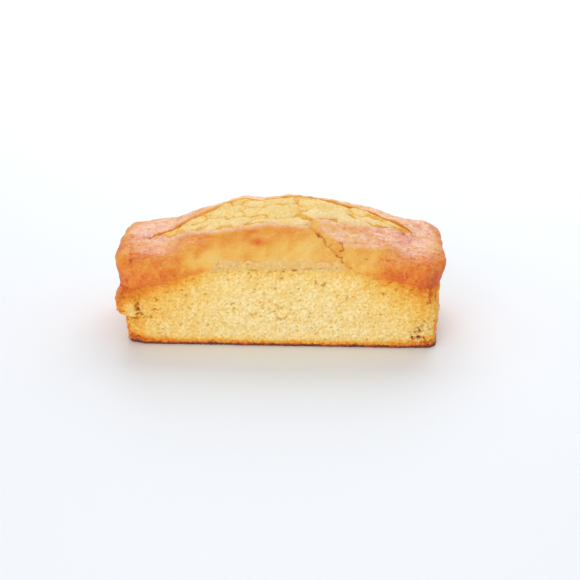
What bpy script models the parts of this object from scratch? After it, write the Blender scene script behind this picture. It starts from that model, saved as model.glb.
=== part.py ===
"""A pound cake baked in a small loaf tin, as one closed solid.

The cake rises from a tapered tin, so its walls are a rounded rectangle that
widens upwards. Above the tin line the crown swells a little over the walls,
rolls over a shoulder and climbs to a low dome, where a long split has opened
between two lips of crust. The solid is a stack of closed rings: base, wall,
lip, crown and split. Every ring has the same number of points, and each
point comes from the functions below.

+X runs along the loaf, -Y is its front, +Z is up, and the origin is at the
middle of the underside. Sizes are in millimetres until the mesh is made.
"""

import math

import bmesh
import bpy
import numpy as np

# ------------------------------------------------------------ walls (mm)
TIN_LENGTH = 199.0          # outer length and width of the walls at TIN_LEVEL
TIN_WIDTH = 96.0
TIN_LEVEL = 45.0
CORNER_RADIUS = 12.0        # corners of the walls, seen from above
END_BOW = 0.6               # the two ends bow out by this much
TIN_DRAFT = 3.8             # the base is this much smaller, on every side
BASE_EDGE = 0.9             # rounding of the bottom edge

# ------------------------------------- the crust's lower edge and lip (mm)
END_CONTACT = 35.0          # height of the crust's lower edge at the ends
FRONT_ARCH = (-98.0, -25.0, 38.0, 88.0)    # it climbs and falls between these
BACK_ARCH = (-92.0, -18.0, 22.0, 90.0)     # places along the front and back
FRONT_ARCH_RISE = 14.8
BACK_ARCH_RISE = 13.0
OVERHANG = {"side": 1.7, "left": 2.4, "right": 1.7}       # crown over wall
LIP_HEIGHT = {"side": 4.5, "left": 12.5, "right": 9.0}    # to its widest line

# ------------------------------------------------------------ crown (mm)
END_HEIGHT = 60.0           # level of the crown's ends
CREST_TILT = 0.006          # the right end is a little higher than the left
DOME_RISE = 18.2            # the middle stands this far above the ends
DOME_MIDDLE = 4.0           # place of the highest point along the loaf
DOME_REACH = (74.0, 80.0)   # the dome runs out this far to the left and right
DOME_FULLNESS = (0.84, 1.12)
FRONT_FALL = (5.0, 13.0)    # drop to the front edge: at the ends, and the
BACK_FALL = (4.0, 7.0)      # further drop in the middle; the same to the back
FALL_POWER = 2.2
SHOULDER = {"front": 12.0, "back": 19.0, "left": 12.5, "right": 16.0}
SHOULDER_SWELL = 5.0        # the front shoulder is this much wider midway
SHOULDER_ROUNDNESS = 2.4    # power of the shoulder's superellipse

# ------------------------------------------------------------ split (mm)
SPLIT_START = -81.0         # the two tips of the split, along the loaf
SPLIT_END = 77.0
SPLIT_TIP_PLACE = (-15.0, -9.0)            # and across it
FRONT_OPENING = 15.0        # reach of the front and back lip from the axis
BACK_OPENING = 30.0
FRONT_OPENS = (-72.0, -34.0, 38.0, 76.0)   # the front lip leaves the axis
PLATE_END = 17.0            # the front lip steps back here, at the crack
PLATE_STEP = 4.0
LIP_RISE = 0.9              # the crust's torn lip stands this high
FURROW = 1.6                # depth between a lip and the risen crumb
TIP_FURROW = 2.6            # the furrow is deeper towards the tips
LUMP = 0.9                  # unevenness of the risen crumb
CRACK_STEP = 1.1            # the crust drops by this much beyond the crack
CRACK_FEET = ((-50.0, -36.0, -28.0), (38.0, 24.0, 16.0))  # its y and x places

# ----------------------------------------------------------- damage (mm)
TORN_BULGE = 4.2            # the torn left corner hangs out this far
TORN_LEVEL = 18.4           # and ends at this height
TORN_INSET = 2.0            # below it, the corner is this far in
CHIP_DEPTH = 2.2            # crumbled hollow low on the right corner
CHIP_PLACE = (8.0, 7.0)     # its distance from the corner and its height
CHIP_SIZE = 6.2

# ------------------------------------------------------- mesh resolution
AROUND = 132                # points in each ring
WALL_LEVELS = (4.0, 9.0, 13.5, 16.2, 18.0, 19.6, 23.0, 28.0)
CROWN_ROWS = 10
SPLIT_ROWS = (0.93, 0.68, 0.4, 0.0)        # shares of the way out to the lip
MERGE_DISTANCE = 0.02


def smooth_step(low, high, value):
    """0 below low, 1 above high, and an S-shaped rise between them."""
    share = np.clip((value - low) / (high - low), 0.0, 1.0)
    return share * share * (3.0 - 2.0 * share)


def plateau(value, stops):
    """Rises between the first two stops and falls between the last two."""
    rise = smooth_step(stops[0], stops[1], value)
    return rise * (1.0 - smooth_step(stops[2], stops[3], value))


def hump(value, middle, width):
    """A bell of height 1 about middle."""
    return np.exp(-(((value - middle) / width) ** 2))


# ------------------------------------------------------------------ outline
def outline(share):
    """The tin line at a share of its length: a point of its inner rectangle
    and the direction out from it. It starts at the middle of the left end
    and runs along the front, the right end and the back."""
    half_x = TIN_LENGTH / 2.0 - CORNER_RADIUS
    half_y = TIN_WIDTH / 2.0 - CORNER_RADIUS
    arc = CORNER_RADIUS * math.pi / 2.0
    runs = [half_y, arc, 2 * half_x, arc, 2 * half_y, arc, 2 * half_x, arc, half_y]
    stops = np.concatenate([[0.0], np.cumsum(runs)])
    turns = np.radians([180, 180, 270, 270, 360, 360, 450, 450, 540, 540])
    corner_x = half_x * np.array([-1, -1, -1, 1, 1, 1, 1, -1, -1, -1])
    corner_y = half_y * np.array([0, -1, -1, -1, -1, 1, 1, 1, 1, 0])
    along = share * stops[-1]
    inner = np.column_stack([np.interp(along, stops, corner_x),
                             np.interp(along, stops, corner_y)])
    angle = np.interp(along, stops, turns)
    outward = np.column_stack([np.cos(angle), np.sin(angle)])
    return inner, outward


def ring_plan(inner, outward, offset):
    """Points at an offset from the tin line, with the ends' slight bow."""
    half_y = TIN_WIDTH / 2.0 - CORNER_RADIUS
    bow = END_BOW * np.cos(0.5 * math.pi * inner[:, 1] / half_y) * outward[:, 0] ** 2
    reach = CORNER_RADIUS + offset + bow
    return inner + outward * reach[:, None]


def facing(outward):
    """How far each point faces the front, the back and an end, 0 to 1."""
    to_front = np.clip(-outward[:, 1], 0.0, 1.0) ** 2
    to_back = np.clip(outward[:, 1], 0.0, 1.0) ** 2
    return to_front, to_back, outward[:, 0] ** 2


def end_value(sizes, outward):
    """The left or the right value of a table of sizes, by the side."""
    return np.where(outward[:, 0] < 0.0, sizes["left"], sizes["right"])


# ------------------------------------------------------------------- levels
def contact_level(plan, outward):
    """Height of the crust's lower edge: a flat arch along each long side."""
    to_front, to_back, to_end = facing(outward)
    front = FRONT_ARCH_RISE * plateau(plan[:, 0], FRONT_ARCH)
    back = BACK_ARCH_RISE * plateau(plan[:, 0], BACK_ARCH)
    return END_CONTACT + front * to_front + back * to_back


def dome_share(x):
    """How much of the dome's rise is reached at x, 0 at its two feet."""
    left = x < DOME_MIDDLE
    reach = np.where(left, DOME_REACH[0], DOME_REACH[1])
    fullness = np.where(left, DOME_FULLNESS[0], DOME_FULLNESS[1])
    turn = np.clip(np.abs(x - DOME_MIDDLE) / reach, 0.0, 1.0)
    return np.clip(np.cos(0.5 * math.pi * turn), 0.0, 1.0) ** fullness


def crown_level(x, y):
    """Height of the crown inside its shoulders."""
    dome = dome_share(x)
    crest = END_HEIGHT + CREST_TILT * x + DOME_RISE * dome
    front_fall = FRONT_FALL[0] + FRONT_FALL[1] * dome
    back_fall = BACK_FALL[0] + BACK_FALL[1] * dome
    fall = np.where(y < 0.0, front_fall, back_fall)
    across = np.abs(y) / (TIN_WIDTH / 2.0)
    rolling = 0.35 * np.sin(x / 9.0 + y / 14.0) + 0.3 * np.sin(x / 23.0 - y / 8.0)
    return crest - fall * across ** FALL_POWER + rolling


def shoulder_width(plan, outward):
    """How far in from the widest line the shoulder is rounded."""
    to_front, to_back, to_end = facing(outward)
    front = SHOULDER["front"] + SHOULDER_SWELL * hump(plan[:, 0], -12.0, 45.0)
    back = SHOULDER["back"]
    return front * to_front + back * to_back + end_value(SHOULDER, outward) * to_end


# -------------------------------------------------------------------- split
def split_lips(x):
    """Front and back edge of the split across the loaf, at x."""
    share = np.clip((x - SPLIT_START) / (SPLIT_END - SPLIT_START), 0.0, 1.0)
    axis = SPLIT_TIP_PLACE[0] + (SPLIT_TIP_PLACE[1] - SPLIT_TIP_PLACE[0]) * share
    opening = np.sqrt(np.clip(np.sin(math.pi * share), 0.0, 1.0))
    step_back = PLATE_STEP * smooth_step(PLATE_END - 3.0, PLATE_END + 4.0, x)
    forward = FRONT_OPENING + 2.0 * hump(x, PLATE_END - 2.0, 6.0) - step_back
    front = axis - opening - (forward - 1.0) * plateau(x, FRONT_OPENS)
    back = axis + (BACK_OPENING + 0.9 * np.sin(x / 6.0)) * opening
    return front, back


def split_plan(share):
    """The lip point that each point of the outline runs to."""
    inner, outward = outline(share)
    across = ring_plan(inner, outward, 0.0)[:, 0] / TIN_LENGTH + 0.5
    half = np.where(share < 0.5, share * 2.0, 2.0 - share * 2.0)
    mix = np.clip(0.6 * across + 0.4 * half, 0.0, 1.0)
    x = SPLIT_START + (SPLIT_END - SPLIT_START) * mix
    front, back = split_lips(x)
    return np.column_stack([x, np.where(share < 0.5, front, back)])


def split_level(x, y, to_lip):
    """Risen crumb between the lips; to_lip is 1 at a lip and 0 midway."""
    lumps = (np.sin(x / 7.3 + 0.8) * np.cos(y / 4.6) + 0.7 * np.sin(x / 4.1 - y / 5.2))
    middle = 0.5 * (SPLIT_START + SPLIT_END)
    half = 0.5 * (SPLIT_END - SPLIT_START)
    tip = smooth_step(0.55, 1.0, np.abs(x - middle) / half)
    furrow = FURROW + (TIP_FURROW - FURROW) * tip
    risen = LUMP * lumps * (1.0 - to_lip ** 6) * (1.0 - tip)
    return crown_level(x, y) + risen - furrow * to_lip ** 3


# ------------------------------------------------------------------- damage
def corner_distance(plan, side):
    """Way round from a front corner: positive along the front, negative
    along the end."""
    corner_x = side * (TIN_LENGTH / 2.0 - CORNER_RADIUS * 0.3)
    corner_y = -(TIN_WIDTH / 2.0 - CORNER_RADIUS * 0.3)
    along_front = side * (corner_x - plan[:, 0])
    along_end = plan[:, 1] - corner_y
    return np.where(along_front > along_end, along_front, -along_end)


def wall_offset(plan, level):
    """Offset of the wall from the tin line: the tin's taper, the torn left
    corner and the crumbled hollow on the right one."""
    taper = -TIN_DRAFT * (1.0 - level / TIN_LEVEL)
    near_tear = plateau(corner_distance(plan, -1.0), (-30.0, -10.0, 6.0, 13.0))
    hanging = plateau(level, (TORN_LEVEL - 1.5, TORN_LEVEL + 2.0, 27.0, 37.0))
    below = 1.0 - smooth_step(TORN_LEVEL - 2.5, TORN_LEVEL, level)
    inset = (0.35 + 0.65 * (1.0 - level / TORN_LEVEL)) * below
    tear = near_tear * (TORN_BULGE * hanging - TORN_INSET * inset)
    chip = hump(corner_distance(plan, 1.0), CHIP_PLACE[0], CHIP_SIZE)
    chip *= hump(level, CHIP_PLACE[1], CHIP_SIZE)
    return taper + tear - CHIP_DEPTH * chip


def crack_step(x, y):
    """Drop of the crust on the right of the oblique crack in its front."""
    beyond = x - np.interp(y, CRACK_FEET[0], CRACK_FEET[1])
    step = plateau(beyond, (-2.5, 2.5, 20.0, 55.0))
    return CRACK_STEP * step * smooth_step(25.0, 30.0, -y)


# -------------------------------------------------------------------- rings
def wall_rings(inner, outward, contact):
    """Rings from the underside up to the crust's lower edge."""
    start = ring_plan(inner, outward, 0.0)
    flat = np.ones(len(inner))
    steps = [(0.0 * flat, BASE_EDGE), (BASE_EDGE * 1.3 * flat, 0.0)]
    steps += [(level * flat, 0.0) for level in WALL_LEVELS]
    top = WALL_LEVELS[-1]
    steps += [(top + (contact - top) * share, 0.0) for share in (0.5, 1.0)]
    rings = []
    for level, inset in steps:
        plan = ring_plan(inner, outward, wall_offset(start, level) - inset)
        rings.append(np.column_stack([plan, level]))
    return rings


def crown_edge(inner, outward, contact):
    """Offset of the wall at the crust's edge, and how far out and up from
    there the crown is widest."""
    to_end = facing(outward)[2]
    wall = wall_offset(ring_plan(inner, outward, 0.0), contact)
    sizes = []
    for table in (OVERHANG, LIP_HEIGHT):
        at_end = end_value(table, outward)
        sizes.append(table["side"] + (at_end - table["side"]) * to_end)
    return wall, sizes[0], sizes[1]


def lip_rings(inner, outward, contact):
    """The crust's lower edge: rolled along the sides, a taper at the ends."""
    wall, overhang, lip_height = crown_edge(inner, outward, contact)
    to_end = facing(outward)[2]
    rings = []
    for side_share, end_share, up_share in ((0.5, 0.12, 0.06), (0.85, 0.55, 0.45)):
        out_share = side_share + (end_share - side_share) * to_end
        plan = ring_plan(inner, outward, wall + overhang * out_share)
        rings.append(np.column_stack([plan, contact + lip_height * up_share]))
    return rings


def crown_rings(inner, outward, contact, lip_plan):
    """Rings from the widest line over the shoulder to the split's lip."""
    wall, overhang, lip_height = crown_edge(inner, outward, contact)
    edge = ring_plan(inner, outward, wall + overhang)
    width = shoulder_width(edge, outward)
    widest = contact + lip_height
    rings = []
    for row in range(CROWN_ROWS + 1):
        share = (row / CROWN_ROWS) ** 1.5
        plan = edge + (lip_plan - edge) * share
        inward = np.sum((edge - plan) * outward, axis=1)
        turn = np.clip(1.0 - inward / width, 0.0, 1.0)
        climb = (1.0 - turn ** SHOULDER_ROUNDNESS) ** (1.0 / SHOULDER_ROUNDNESS)
        x, y = plan.T
        level = widest + (crown_level(x, y) - crack_step(x, y) - widest) * climb
        level += LIP_RISE * smooth_step(0.75, 1.0, share)
        rings.append(np.column_stack([plan, level]))
    return rings


def split_rings(lip_plan):
    """Rings from the lips to the split's midline, where they close."""
    x = lip_plan[:, 0]
    front, back = split_lips(x)
    middle = 0.5 * (front + back)
    open_share = smooth_step(0.0, 3.0, back - front)
    rings = []
    for to_lip in SPLIT_ROWS:
        y = middle + (lip_plan[:, 1] - middle) * to_lip
        tip_level = crown_level(x, middle) + LIP_RISE
        level = split_level(x, y, to_lip)
        level = tip_level + (level - tip_level) * open_share
        rings.append(np.column_stack([x, y, level]))
    return rings


# --------------------------------------------------------------------- mesh
def skin_rings(name, rings):
    """One closed mesh: a flat face for the base and a band of faces between
    each ring and the next. The last ring folds shut on the midline."""
    body = bmesh.new()
    loops = [[body.verts.new(point) for point in ring * 0.001] for ring in rings]
    body.faces.new(list(reversed(loops[0])))
    for lower, upper in zip(loops, loops[1:]):
        for i in range(AROUND):
            j = (i + 1) % AROUND
            body.faces.new((lower[i], lower[j], upper[j], upper[i]))
    bmesh.ops.remove_doubles(body, verts=body.verts, dist=MERGE_DISTANCE * 0.001)
    bmesh.ops.triangulate(body, faces=body.faces)
    bmesh.ops.recalc_face_normals(body, faces=body.faces)
    mesh = bpy.data.meshes.new(name)
    body.to_mesh(mesh)
    body.free()
    mesh.shade_smooth()
    mesh.set_sharp_from_angle(angle=math.radians(40))
    return mesh


def centre_on_origin(mesh):
    """Move the mesh so that the middle of its box is over the origin."""
    points = np.empty(len(mesh.vertices) * 3)
    mesh.vertices.foreach_get("co", points)
    points = points.reshape(-1, 3)
    middle = 0.5 * (points.min(axis=0) + points.max(axis=0))
    points[:, :2] -= middle[:2]
    mesh.vertices.foreach_set("co", points.ravel())
    mesh.update()


def crust_material():
    """Golden baked crust, the colour that most of the cake shows."""
    material = bpy.data.materials.new("golden_crust")
    material.use_nodes = True
    shader = material.node_tree.nodes["Principled BSDF"]
    shader.inputs["Base Color"].default_value = (0.80, 0.46, 0.13, 1.0)
    shader.inputs["Roughness"].default_value = 0.6
    shader.inputs["Metallic"].default_value = 0.0
    return material


def build_loaf():
    """The whole cake, as one object."""
    share = np.arange(AROUND) / AROUND
    inner, outward = outline(share)
    contact = contact_level(ring_plan(inner, outward, 0.0), outward)
    lip_plan = split_plan(share)
    rings = wall_rings(inner, outward, contact)
    rings += lip_rings(inner, outward, contact)
    rings += crown_rings(inner, outward, contact, lip_plan)
    rings += split_rings(lip_plan)
    mesh = skin_rings("pound_cake_loaf", rings)
    centre_on_origin(mesh)
    mesh.materials.append(crust_material())
    loaf = bpy.data.objects.new("pound_cake_loaf", mesh)
    bpy.context.scene.collection.objects.link(loaf)


for old in list(bpy.data.objects):
    bpy.data.objects.remove(old, do_unlink=True)
build_loaf()
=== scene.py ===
# %% [markdown]
# # A pound cake from a loaf tin
#
# This lesson gives a plain solid cake its finish. The solid comes from a CAD
# step and is loaded as a fixed frame, in metres, with +X along the loaf, -Y
# at its front and +Z up. Every piece below is built around it and replaces it.
# The cake has four kinds of surface: pale crumb on the long sides, where the
# skin stayed in the tin; golden skin on the ends; a baked crown with a split
# that shows risen crumb; and a thin brown crust underneath.

# %% Load the frame
import math

import bpy
import numpy as np
from mathutils import Matrix, Vector


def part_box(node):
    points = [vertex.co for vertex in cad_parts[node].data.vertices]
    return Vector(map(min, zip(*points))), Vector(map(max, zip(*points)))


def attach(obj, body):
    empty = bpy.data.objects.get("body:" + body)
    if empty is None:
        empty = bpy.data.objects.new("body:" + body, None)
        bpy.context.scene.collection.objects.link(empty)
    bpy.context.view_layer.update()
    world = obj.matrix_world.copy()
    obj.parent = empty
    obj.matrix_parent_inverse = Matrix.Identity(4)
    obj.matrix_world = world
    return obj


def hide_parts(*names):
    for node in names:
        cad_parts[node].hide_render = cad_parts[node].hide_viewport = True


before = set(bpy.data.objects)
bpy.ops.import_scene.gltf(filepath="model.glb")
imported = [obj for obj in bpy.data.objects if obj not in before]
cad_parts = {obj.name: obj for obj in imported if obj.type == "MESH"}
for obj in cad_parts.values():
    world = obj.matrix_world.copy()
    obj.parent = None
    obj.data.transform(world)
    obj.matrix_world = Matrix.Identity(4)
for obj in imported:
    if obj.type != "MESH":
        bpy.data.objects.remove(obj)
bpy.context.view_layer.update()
NODE = "pound_cake_loaf"
MM = 0.001
low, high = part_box(NODE)
LENGTH, WIDTH, HEIGHT = ((high - low) / MM)
print(f"the loaf's solid measures {LENGTH:.1f} x {WIDTH:.1f} x {HEIGHT:.1f} mm")

# %% [markdown]
# ## Camera, floor and light
#
# Food is often shown from a little above, with a long lens, so that its sides
# stay upright. The camera stands nine loaf widths away, 20 degrees above the
# floor. The light is a white room with a broad soft lamp overhead, and the
# floor is nearly white, so its bounce fills the loaf's lower side.

# %% Camera
CAMERA_AZIMUTH = 2.6
CAMERA_HEIGHT_ANGLE = 20.0
CAMERA_DISTANCE = 900.0
LENS = 90.8
AIM = (5.86, -32.12, 32.43)  # the point that the camera looks at


def camera_axes(azimuth, elevation):
    """Unit vectors towards the camera, to its right and to its own top."""
    turn, tilt = math.radians(azimuth), math.radians(elevation)
    back = Vector((math.sin(turn) * math.cos(tilt),
                   -math.cos(turn) * math.cos(tilt), math.sin(tilt)))
    right = Vector((math.cos(turn), math.sin(turn), 0.0))
    return back, right, back.cross(right)


back, right, up = camera_axes(CAMERA_AZIMUTH, CAMERA_HEIGHT_ANGLE)
camera_data = bpy.data.cameras.new("studio_camera")
camera_data.lens = LENS
camera_data.sensor_width = 36.0
camera_data.clip_end = 20.0
camera = bpy.data.objects.new("studio_camera", camera_data)
camera.matrix_world = Matrix((right, up, back)).transposed().to_4x4()
camera.location = Vector(AIM) * MM + back * CAMERA_DISTANCE * MM
bpy.context.scene.collection.objects.link(camera)
bpy.context.scene.camera = camera
bpy.context.scene.view_settings.view_transform = "Standard"
print("camera at", tuple(round(v, 3) for v in camera.location))

# %% Floor and lights
FLOOR_HALF = 12.0
FLOOR_COLOUR = (0.84, 0.875, 0.925, 1.0)
FLOOR_ROUGHNESS = 0.6
LAMP_AIM = (0.0, 0.0, 0.03)
WORLD_STRENGTH = 0.64
LAMPS = (
    # name, place (m), size (m), power (W)
    ("back_softbox", (0.1, 1.25, 1.05), 1.5, 15.0),
    ("front_softbox", (-0.4, -1.7, 0.7), 1.2, 14.0),
)

world = bpy.data.worlds.new("white_room")
world.use_nodes = True
world.node_tree.nodes["Background"].inputs["Color"].default_value = (1.0, 1.0, 1.0, 1.0)
world.node_tree.nodes["Background"].inputs["Strength"].default_value = WORLD_STRENGTH
bpy.context.scene.world = world
for name, place, size, power in LAMPS:
    lamp = bpy.data.lights.new(name, "AREA")
    lamp.shape = "SQUARE"
    lamp.size = size
    lamp.energy = power
    lamp_object = bpy.data.objects.new(name, lamp)
    lamp_object.location = place
    aim = Vector(LAMP_AIM) - Vector(place)
    lamp_object.rotation_euler = aim.to_track_quat("-Z", "Y").to_euler()
    bpy.context.scene.collection.objects.link(lamp_object)

floor_mesh = bpy.data.meshes.new("floor")
corners = [(-FLOOR_HALF, -FLOOR_HALF, 0.0), (FLOOR_HALF, -FLOOR_HALF, 0.0),
           (FLOOR_HALF, FLOOR_HALF, 0.0), (-FLOOR_HALF, FLOOR_HALF, 0.0)]
floor_mesh.from_pydata(corners, [], [(0, 1, 2, 3)])
floor = bpy.data.objects.new("floor", floor_mesh)
bpy.context.scene.collection.objects.link(floor)
floor_material = bpy.data.materials.new("white_floor")
floor_material.use_nodes = True
floor_shader = floor_material.node_tree.nodes["Principled BSDF"]
floor_shader.inputs["Base Color"].default_value = FLOOR_COLOUR
floor_shader.inputs["Roughness"].default_value = FLOOR_ROUGHNESS
floor_mesh.materials.append(floor_material)
print("white room, floor and", len(LAMPS), "lamps")

# %% [markdown]
# ## The loaf's measures
#
# All shapes below come from the same few sizes as the solid: the tin's
# outline, the height of the crust's lower edge, the dome and the split.
# Keeping them as named values means one change moves every piece together.

# %% Sizes in millimetres
TIN_LENGTH = LENGTH - 4.14          # the crown overhangs the tin line
TIN_WIDTH = 96.0
TIN_LEVEL = 45.0
CORNER_RADIUS = 12.0
END_BOW = 0.6
TIN_DRAFT = 3.8
END_CONTACT = {"left": 37.0, "right": 41.0}
MIDDLE_CONTACT = {"front": 49.8, "back": 48.0}
FRONT_ARCH = (-98.0, -25.0, 38.0, 88.0)
BACK_ARCH = (-92.0, -18.0, 22.0, 90.0)
OVERHANG = {"side": 1.7, "left": 2.4, "right": 1.7}
LIP_HEIGHT = {"side": 4.5, "left": 14.5, "right": 12.5}
LIP_SWELL = 6.0                     # taller lip towards the ends of the sides
END_HEIGHT = 60.0
CREST_TILT = 0.006
DOME_RISE = 18.2
DOME_MIDDLE = 4.0
DOME_REACH = (74.0, 80.0)
DOME_FULLNESS = (0.84, 1.12)
FRONT_FALL = (5.0, 13.0)
BACK_FALL = (4.0, 7.0)
FALL_POWER = 2.2
SHOULDER = {"front": 14.5, "back": 20.0, "left": 14.0, "right": 19.0}
SHOULDER_SWELL = 5.0
SHOULDER_ROUNDNESS = {"side": 2.15, "end": 2.05}
BACK_CORNER_DROP = 3.4
LEFT_CROWN_BOW = 1.3
CORNER_SOFTNESS = {"front": 2.6, "back": 3.6}
SPLIT_START = -81.0
SPLIT_END = 81.0
SPLIT_TIP_PLACE = (-15.0, -9.0)
FRONT_OPENING = 15.0
BACK_OPENING = 30.0
FRONT_OPENS = (-72.0, -34.0, 38.0, 76.0)
PLATE_END = 17.0
PLATE_STEP = 4.0
TORN_BULGE = 4.2
TORN_LEVEL = 18.4
TORN_INSET = 2.0
TORN_MIDDLE = 23.0
CHIP_DEPTH = 2.2
CHIP_PLACE = (8.0, 7.0)
CHIP_SIZE = 6.2
CRACK_STEP = 1.1
CRACK_FEET = ((-50.0, -36.0, -28.0), (38.0, 24.0, 16.0))

# %% [markdown]
# ## Small helpers for curves and unevenness
#
# Baked things are never regular. `ripples` adds up fourteen sine waves
# that run in random directions with lengths near a chosen size. It is smooth,
# repeatable from its seed, and quick for a hundred thousand points.

# %% Curve helpers
WAVE_COUNT = 14


def smooth_step(low_end, high_end, value):
    """0 below low_end, 1 above high_end, and an S-shaped rise between."""
    share = np.clip((value - low_end) / (high_end - low_end), 0.0, 1.0)
    return share * share * (3.0 - 2.0 * share)


def plateau(value, stops):
    """Rises between the first two stops and falls between the last two."""
    rise = smooth_step(stops[0], stops[1], value)
    return rise * (1.0 - smooth_step(stops[2], stops[3], value))


def hump(value, middle, width):
    """A bell of height 1 about middle."""
    return np.exp(-(((value - middle) / width) ** 2))


def ripples(points, size, seed, stretch=(1.0, 1.0, 1.0)):
    """Smooth unevenness of about unit height, with waves of about size mm."""
    random = np.random.default_rng(seed)
    ways = random.normal(size=(WAVE_COUNT, 3))
    ways /= np.linalg.norm(ways, axis=1)[:, None]
    lengths = size * random.uniform(0.65, 1.6, WAVE_COUNT)
    phases = random.uniform(0.0, 2.0 * math.pi, WAVE_COUNT)
    scaled = points / np.asarray(stretch)
    total = np.zeros(points.shape[:-1])
    for way, wavelength, phase in zip(ways, lengths, phases):
        total += np.sin(scaled @ way * (2.0 * math.pi / wavelength) + phase)
    return total / math.sqrt(WAVE_COUNT / 2.0)


def layered(points, *waves):
    """Ripples added up from (height, size, seed) rows."""
    return sum(height * ripples(points, size, seed) for height, size, seed in waves)


def path_distance(points, path):
    """Distance from each point to a path of straight runs, and how far along
    the path its nearest place lies, from 0 to 1."""
    path = np.asarray(path, float)
    runs = np.linalg.norm(np.diff(path, axis=0), axis=1)
    before = np.concatenate([[0.0], np.cumsum(runs)])
    best = np.full(points.shape[:-1], 1e9)
    along = np.zeros(points.shape[:-1])
    for i, run in enumerate(runs):
        way = (path[i + 1] - path[i]) / run
        reach = np.clip((points - path[i]) @ way, 0.0, run)
        gap = np.linalg.norm(points - path[i] - reach[..., None] * way, axis=-1)
        nearer = gap < best
        best = np.where(nearer, gap, best)
        along = np.where(nearer, (before[i] + reach) / before[-1], along)
    return best, along


# %% [markdown]
# ## The outline and levels of the loaf
#
# A point on the loaf is named by its share of the way round the tin line and
# by how far it has climbed. These are nearly the solid's own rules. The split
# and the crown's two ends are a few millimetres softer than the solid's.

# %% Outline and levels
def outline(share):
    """Inner rectangle point and outward direction at a share of the way
    round, from the middle of the left end along the front."""
    half_x = TIN_LENGTH / 2.0 - CORNER_RADIUS
    half_y = TIN_WIDTH / 2.0 - CORNER_RADIUS
    arc = CORNER_RADIUS * math.pi / 2.0
    runs = [half_y, arc, 2 * half_x, arc, 2 * half_y, arc, 2 * half_x, arc, half_y]
    stops = np.concatenate([[0.0], np.cumsum(runs)])
    turns = np.radians([180, 180, 270, 270, 360, 360, 450, 450, 540, 540])
    corner_x = half_x * np.array([-1, -1, -1, 1, 1, 1, 1, -1, -1, -1])
    corner_y = half_y * np.array([0, -1, -1, -1, -1, 1, 1, 1, 1, 0])
    along = share * stops[-1]
    inner = np.stack([np.interp(along, stops, corner_x),
                      np.interp(along, stops, corner_y)], axis=-1)
    angle = np.interp(along, stops, turns)
    return inner, np.stack([np.cos(angle), np.sin(angle)], axis=-1)


def ring_plan(inner, outward, offset=0.0):
    """Points at an offset from the tin line, with the ends' slight bow."""
    half_y = TIN_WIDTH / 2.0 - CORNER_RADIUS
    bow = END_BOW * np.cos(0.5 * math.pi * inner[..., 1] / half_y) * outward[..., 0] ** 2
    return inner + outward * (CORNER_RADIUS + offset + bow)[..., None]


def tin_line(share):
    """Inner points, outward directions and the tin line's own points."""
    inner, outward = outline(share)
    return inner, outward, ring_plan(inner, outward)


def facing(outward):
    """How far each point faces the front, the back and an end, 0 to 1."""
    to_front = np.clip(-outward[..., 1], 0.0, 1.0) ** 2
    to_back = np.clip(outward[..., 1], 0.0, 1.0) ** 2
    return to_front, to_back, outward[..., 0] ** 2


def end_value(sizes, outward):
    """The left or the right value of a table of sizes, by the side."""
    return np.where(outward[..., 0] < 0.0, sizes["left"], sizes["right"])


def contact_level(plan, outward):
    """Height of the crust's lower edge."""
    to_front, to_back, _ = facing(outward)
    x = plan[..., 0]
    ends = END_CONTACT["left"] + (END_CONTACT["right"] - END_CONTACT["left"]) * smooth_step(
        -30.0, 30.0, x)
    front = (MIDDLE_CONTACT["front"] - ends) * plateau(x, FRONT_ARCH)
    behind = (MIDDLE_CONTACT["back"] - ends) * plateau(x, BACK_ARCH)
    return ends + front * to_front + behind * to_back


def dome_share(x):
    """How much of the dome's rise is reached at x."""
    left = x < DOME_MIDDLE
    reach = np.where(left, DOME_REACH[0], DOME_REACH[1])
    fullness = np.where(left, DOME_FULLNESS[0], DOME_FULLNESS[1])
    turn = np.clip(np.abs(x - DOME_MIDDLE) / reach, 0.0, 1.0)
    return np.clip(np.cos(0.5 * math.pi * turn), 0.0, 1.0) ** fullness


def crown_level(x, y):
    """Height of the crown inside its shoulders."""
    dome = dome_share(x)
    crest = END_HEIGHT + CREST_TILT * x + DOME_RISE * dome
    fall = np.where(y < 0.0, FRONT_FALL[0] + FRONT_FALL[1] * dome,
                    BACK_FALL[0] + BACK_FALL[1] * dome)
    across = np.abs(y) / (TIN_WIDTH / 2.0)
    rolling = 0.35 * np.sin(x / 9.0 + y / 14.0) + 0.3 * np.sin(x / 23.0 - y / 8.0)
    rolling += 2.3 * plateau(x, (-50.0, -33.0, -28.0, -14.0)) * smooth_step(2.0, 9.0, y)
    rolling -= 0.9 * hump(x, -11.0, 9.0) * smooth_step(2.0, 9.0, y)
    rolling -= 1.8 * (1.0 - smooth_step(-90.0, -70.0, x)) * smooth_step(-30.0, 20.0, y)
    rolling -= 3.6 * smooth_step(90.0, 102.0, x) * smooth_step(-30.0, 30.0, y)
    return crest - fall * across ** FALL_POWER + rolling


def shoulder_width(plan, outward):
    """How far in from the widest line the shoulder is rounded."""
    to_front, to_back, to_end = facing(outward)
    front = SHOULDER["front"] + SHOULDER_SWELL * hump(plan[..., 0], -12.0, 45.0)
    return (front * to_front + SHOULDER["back"] * to_back
            + end_value(SHOULDER, outward) * to_end)


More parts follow.
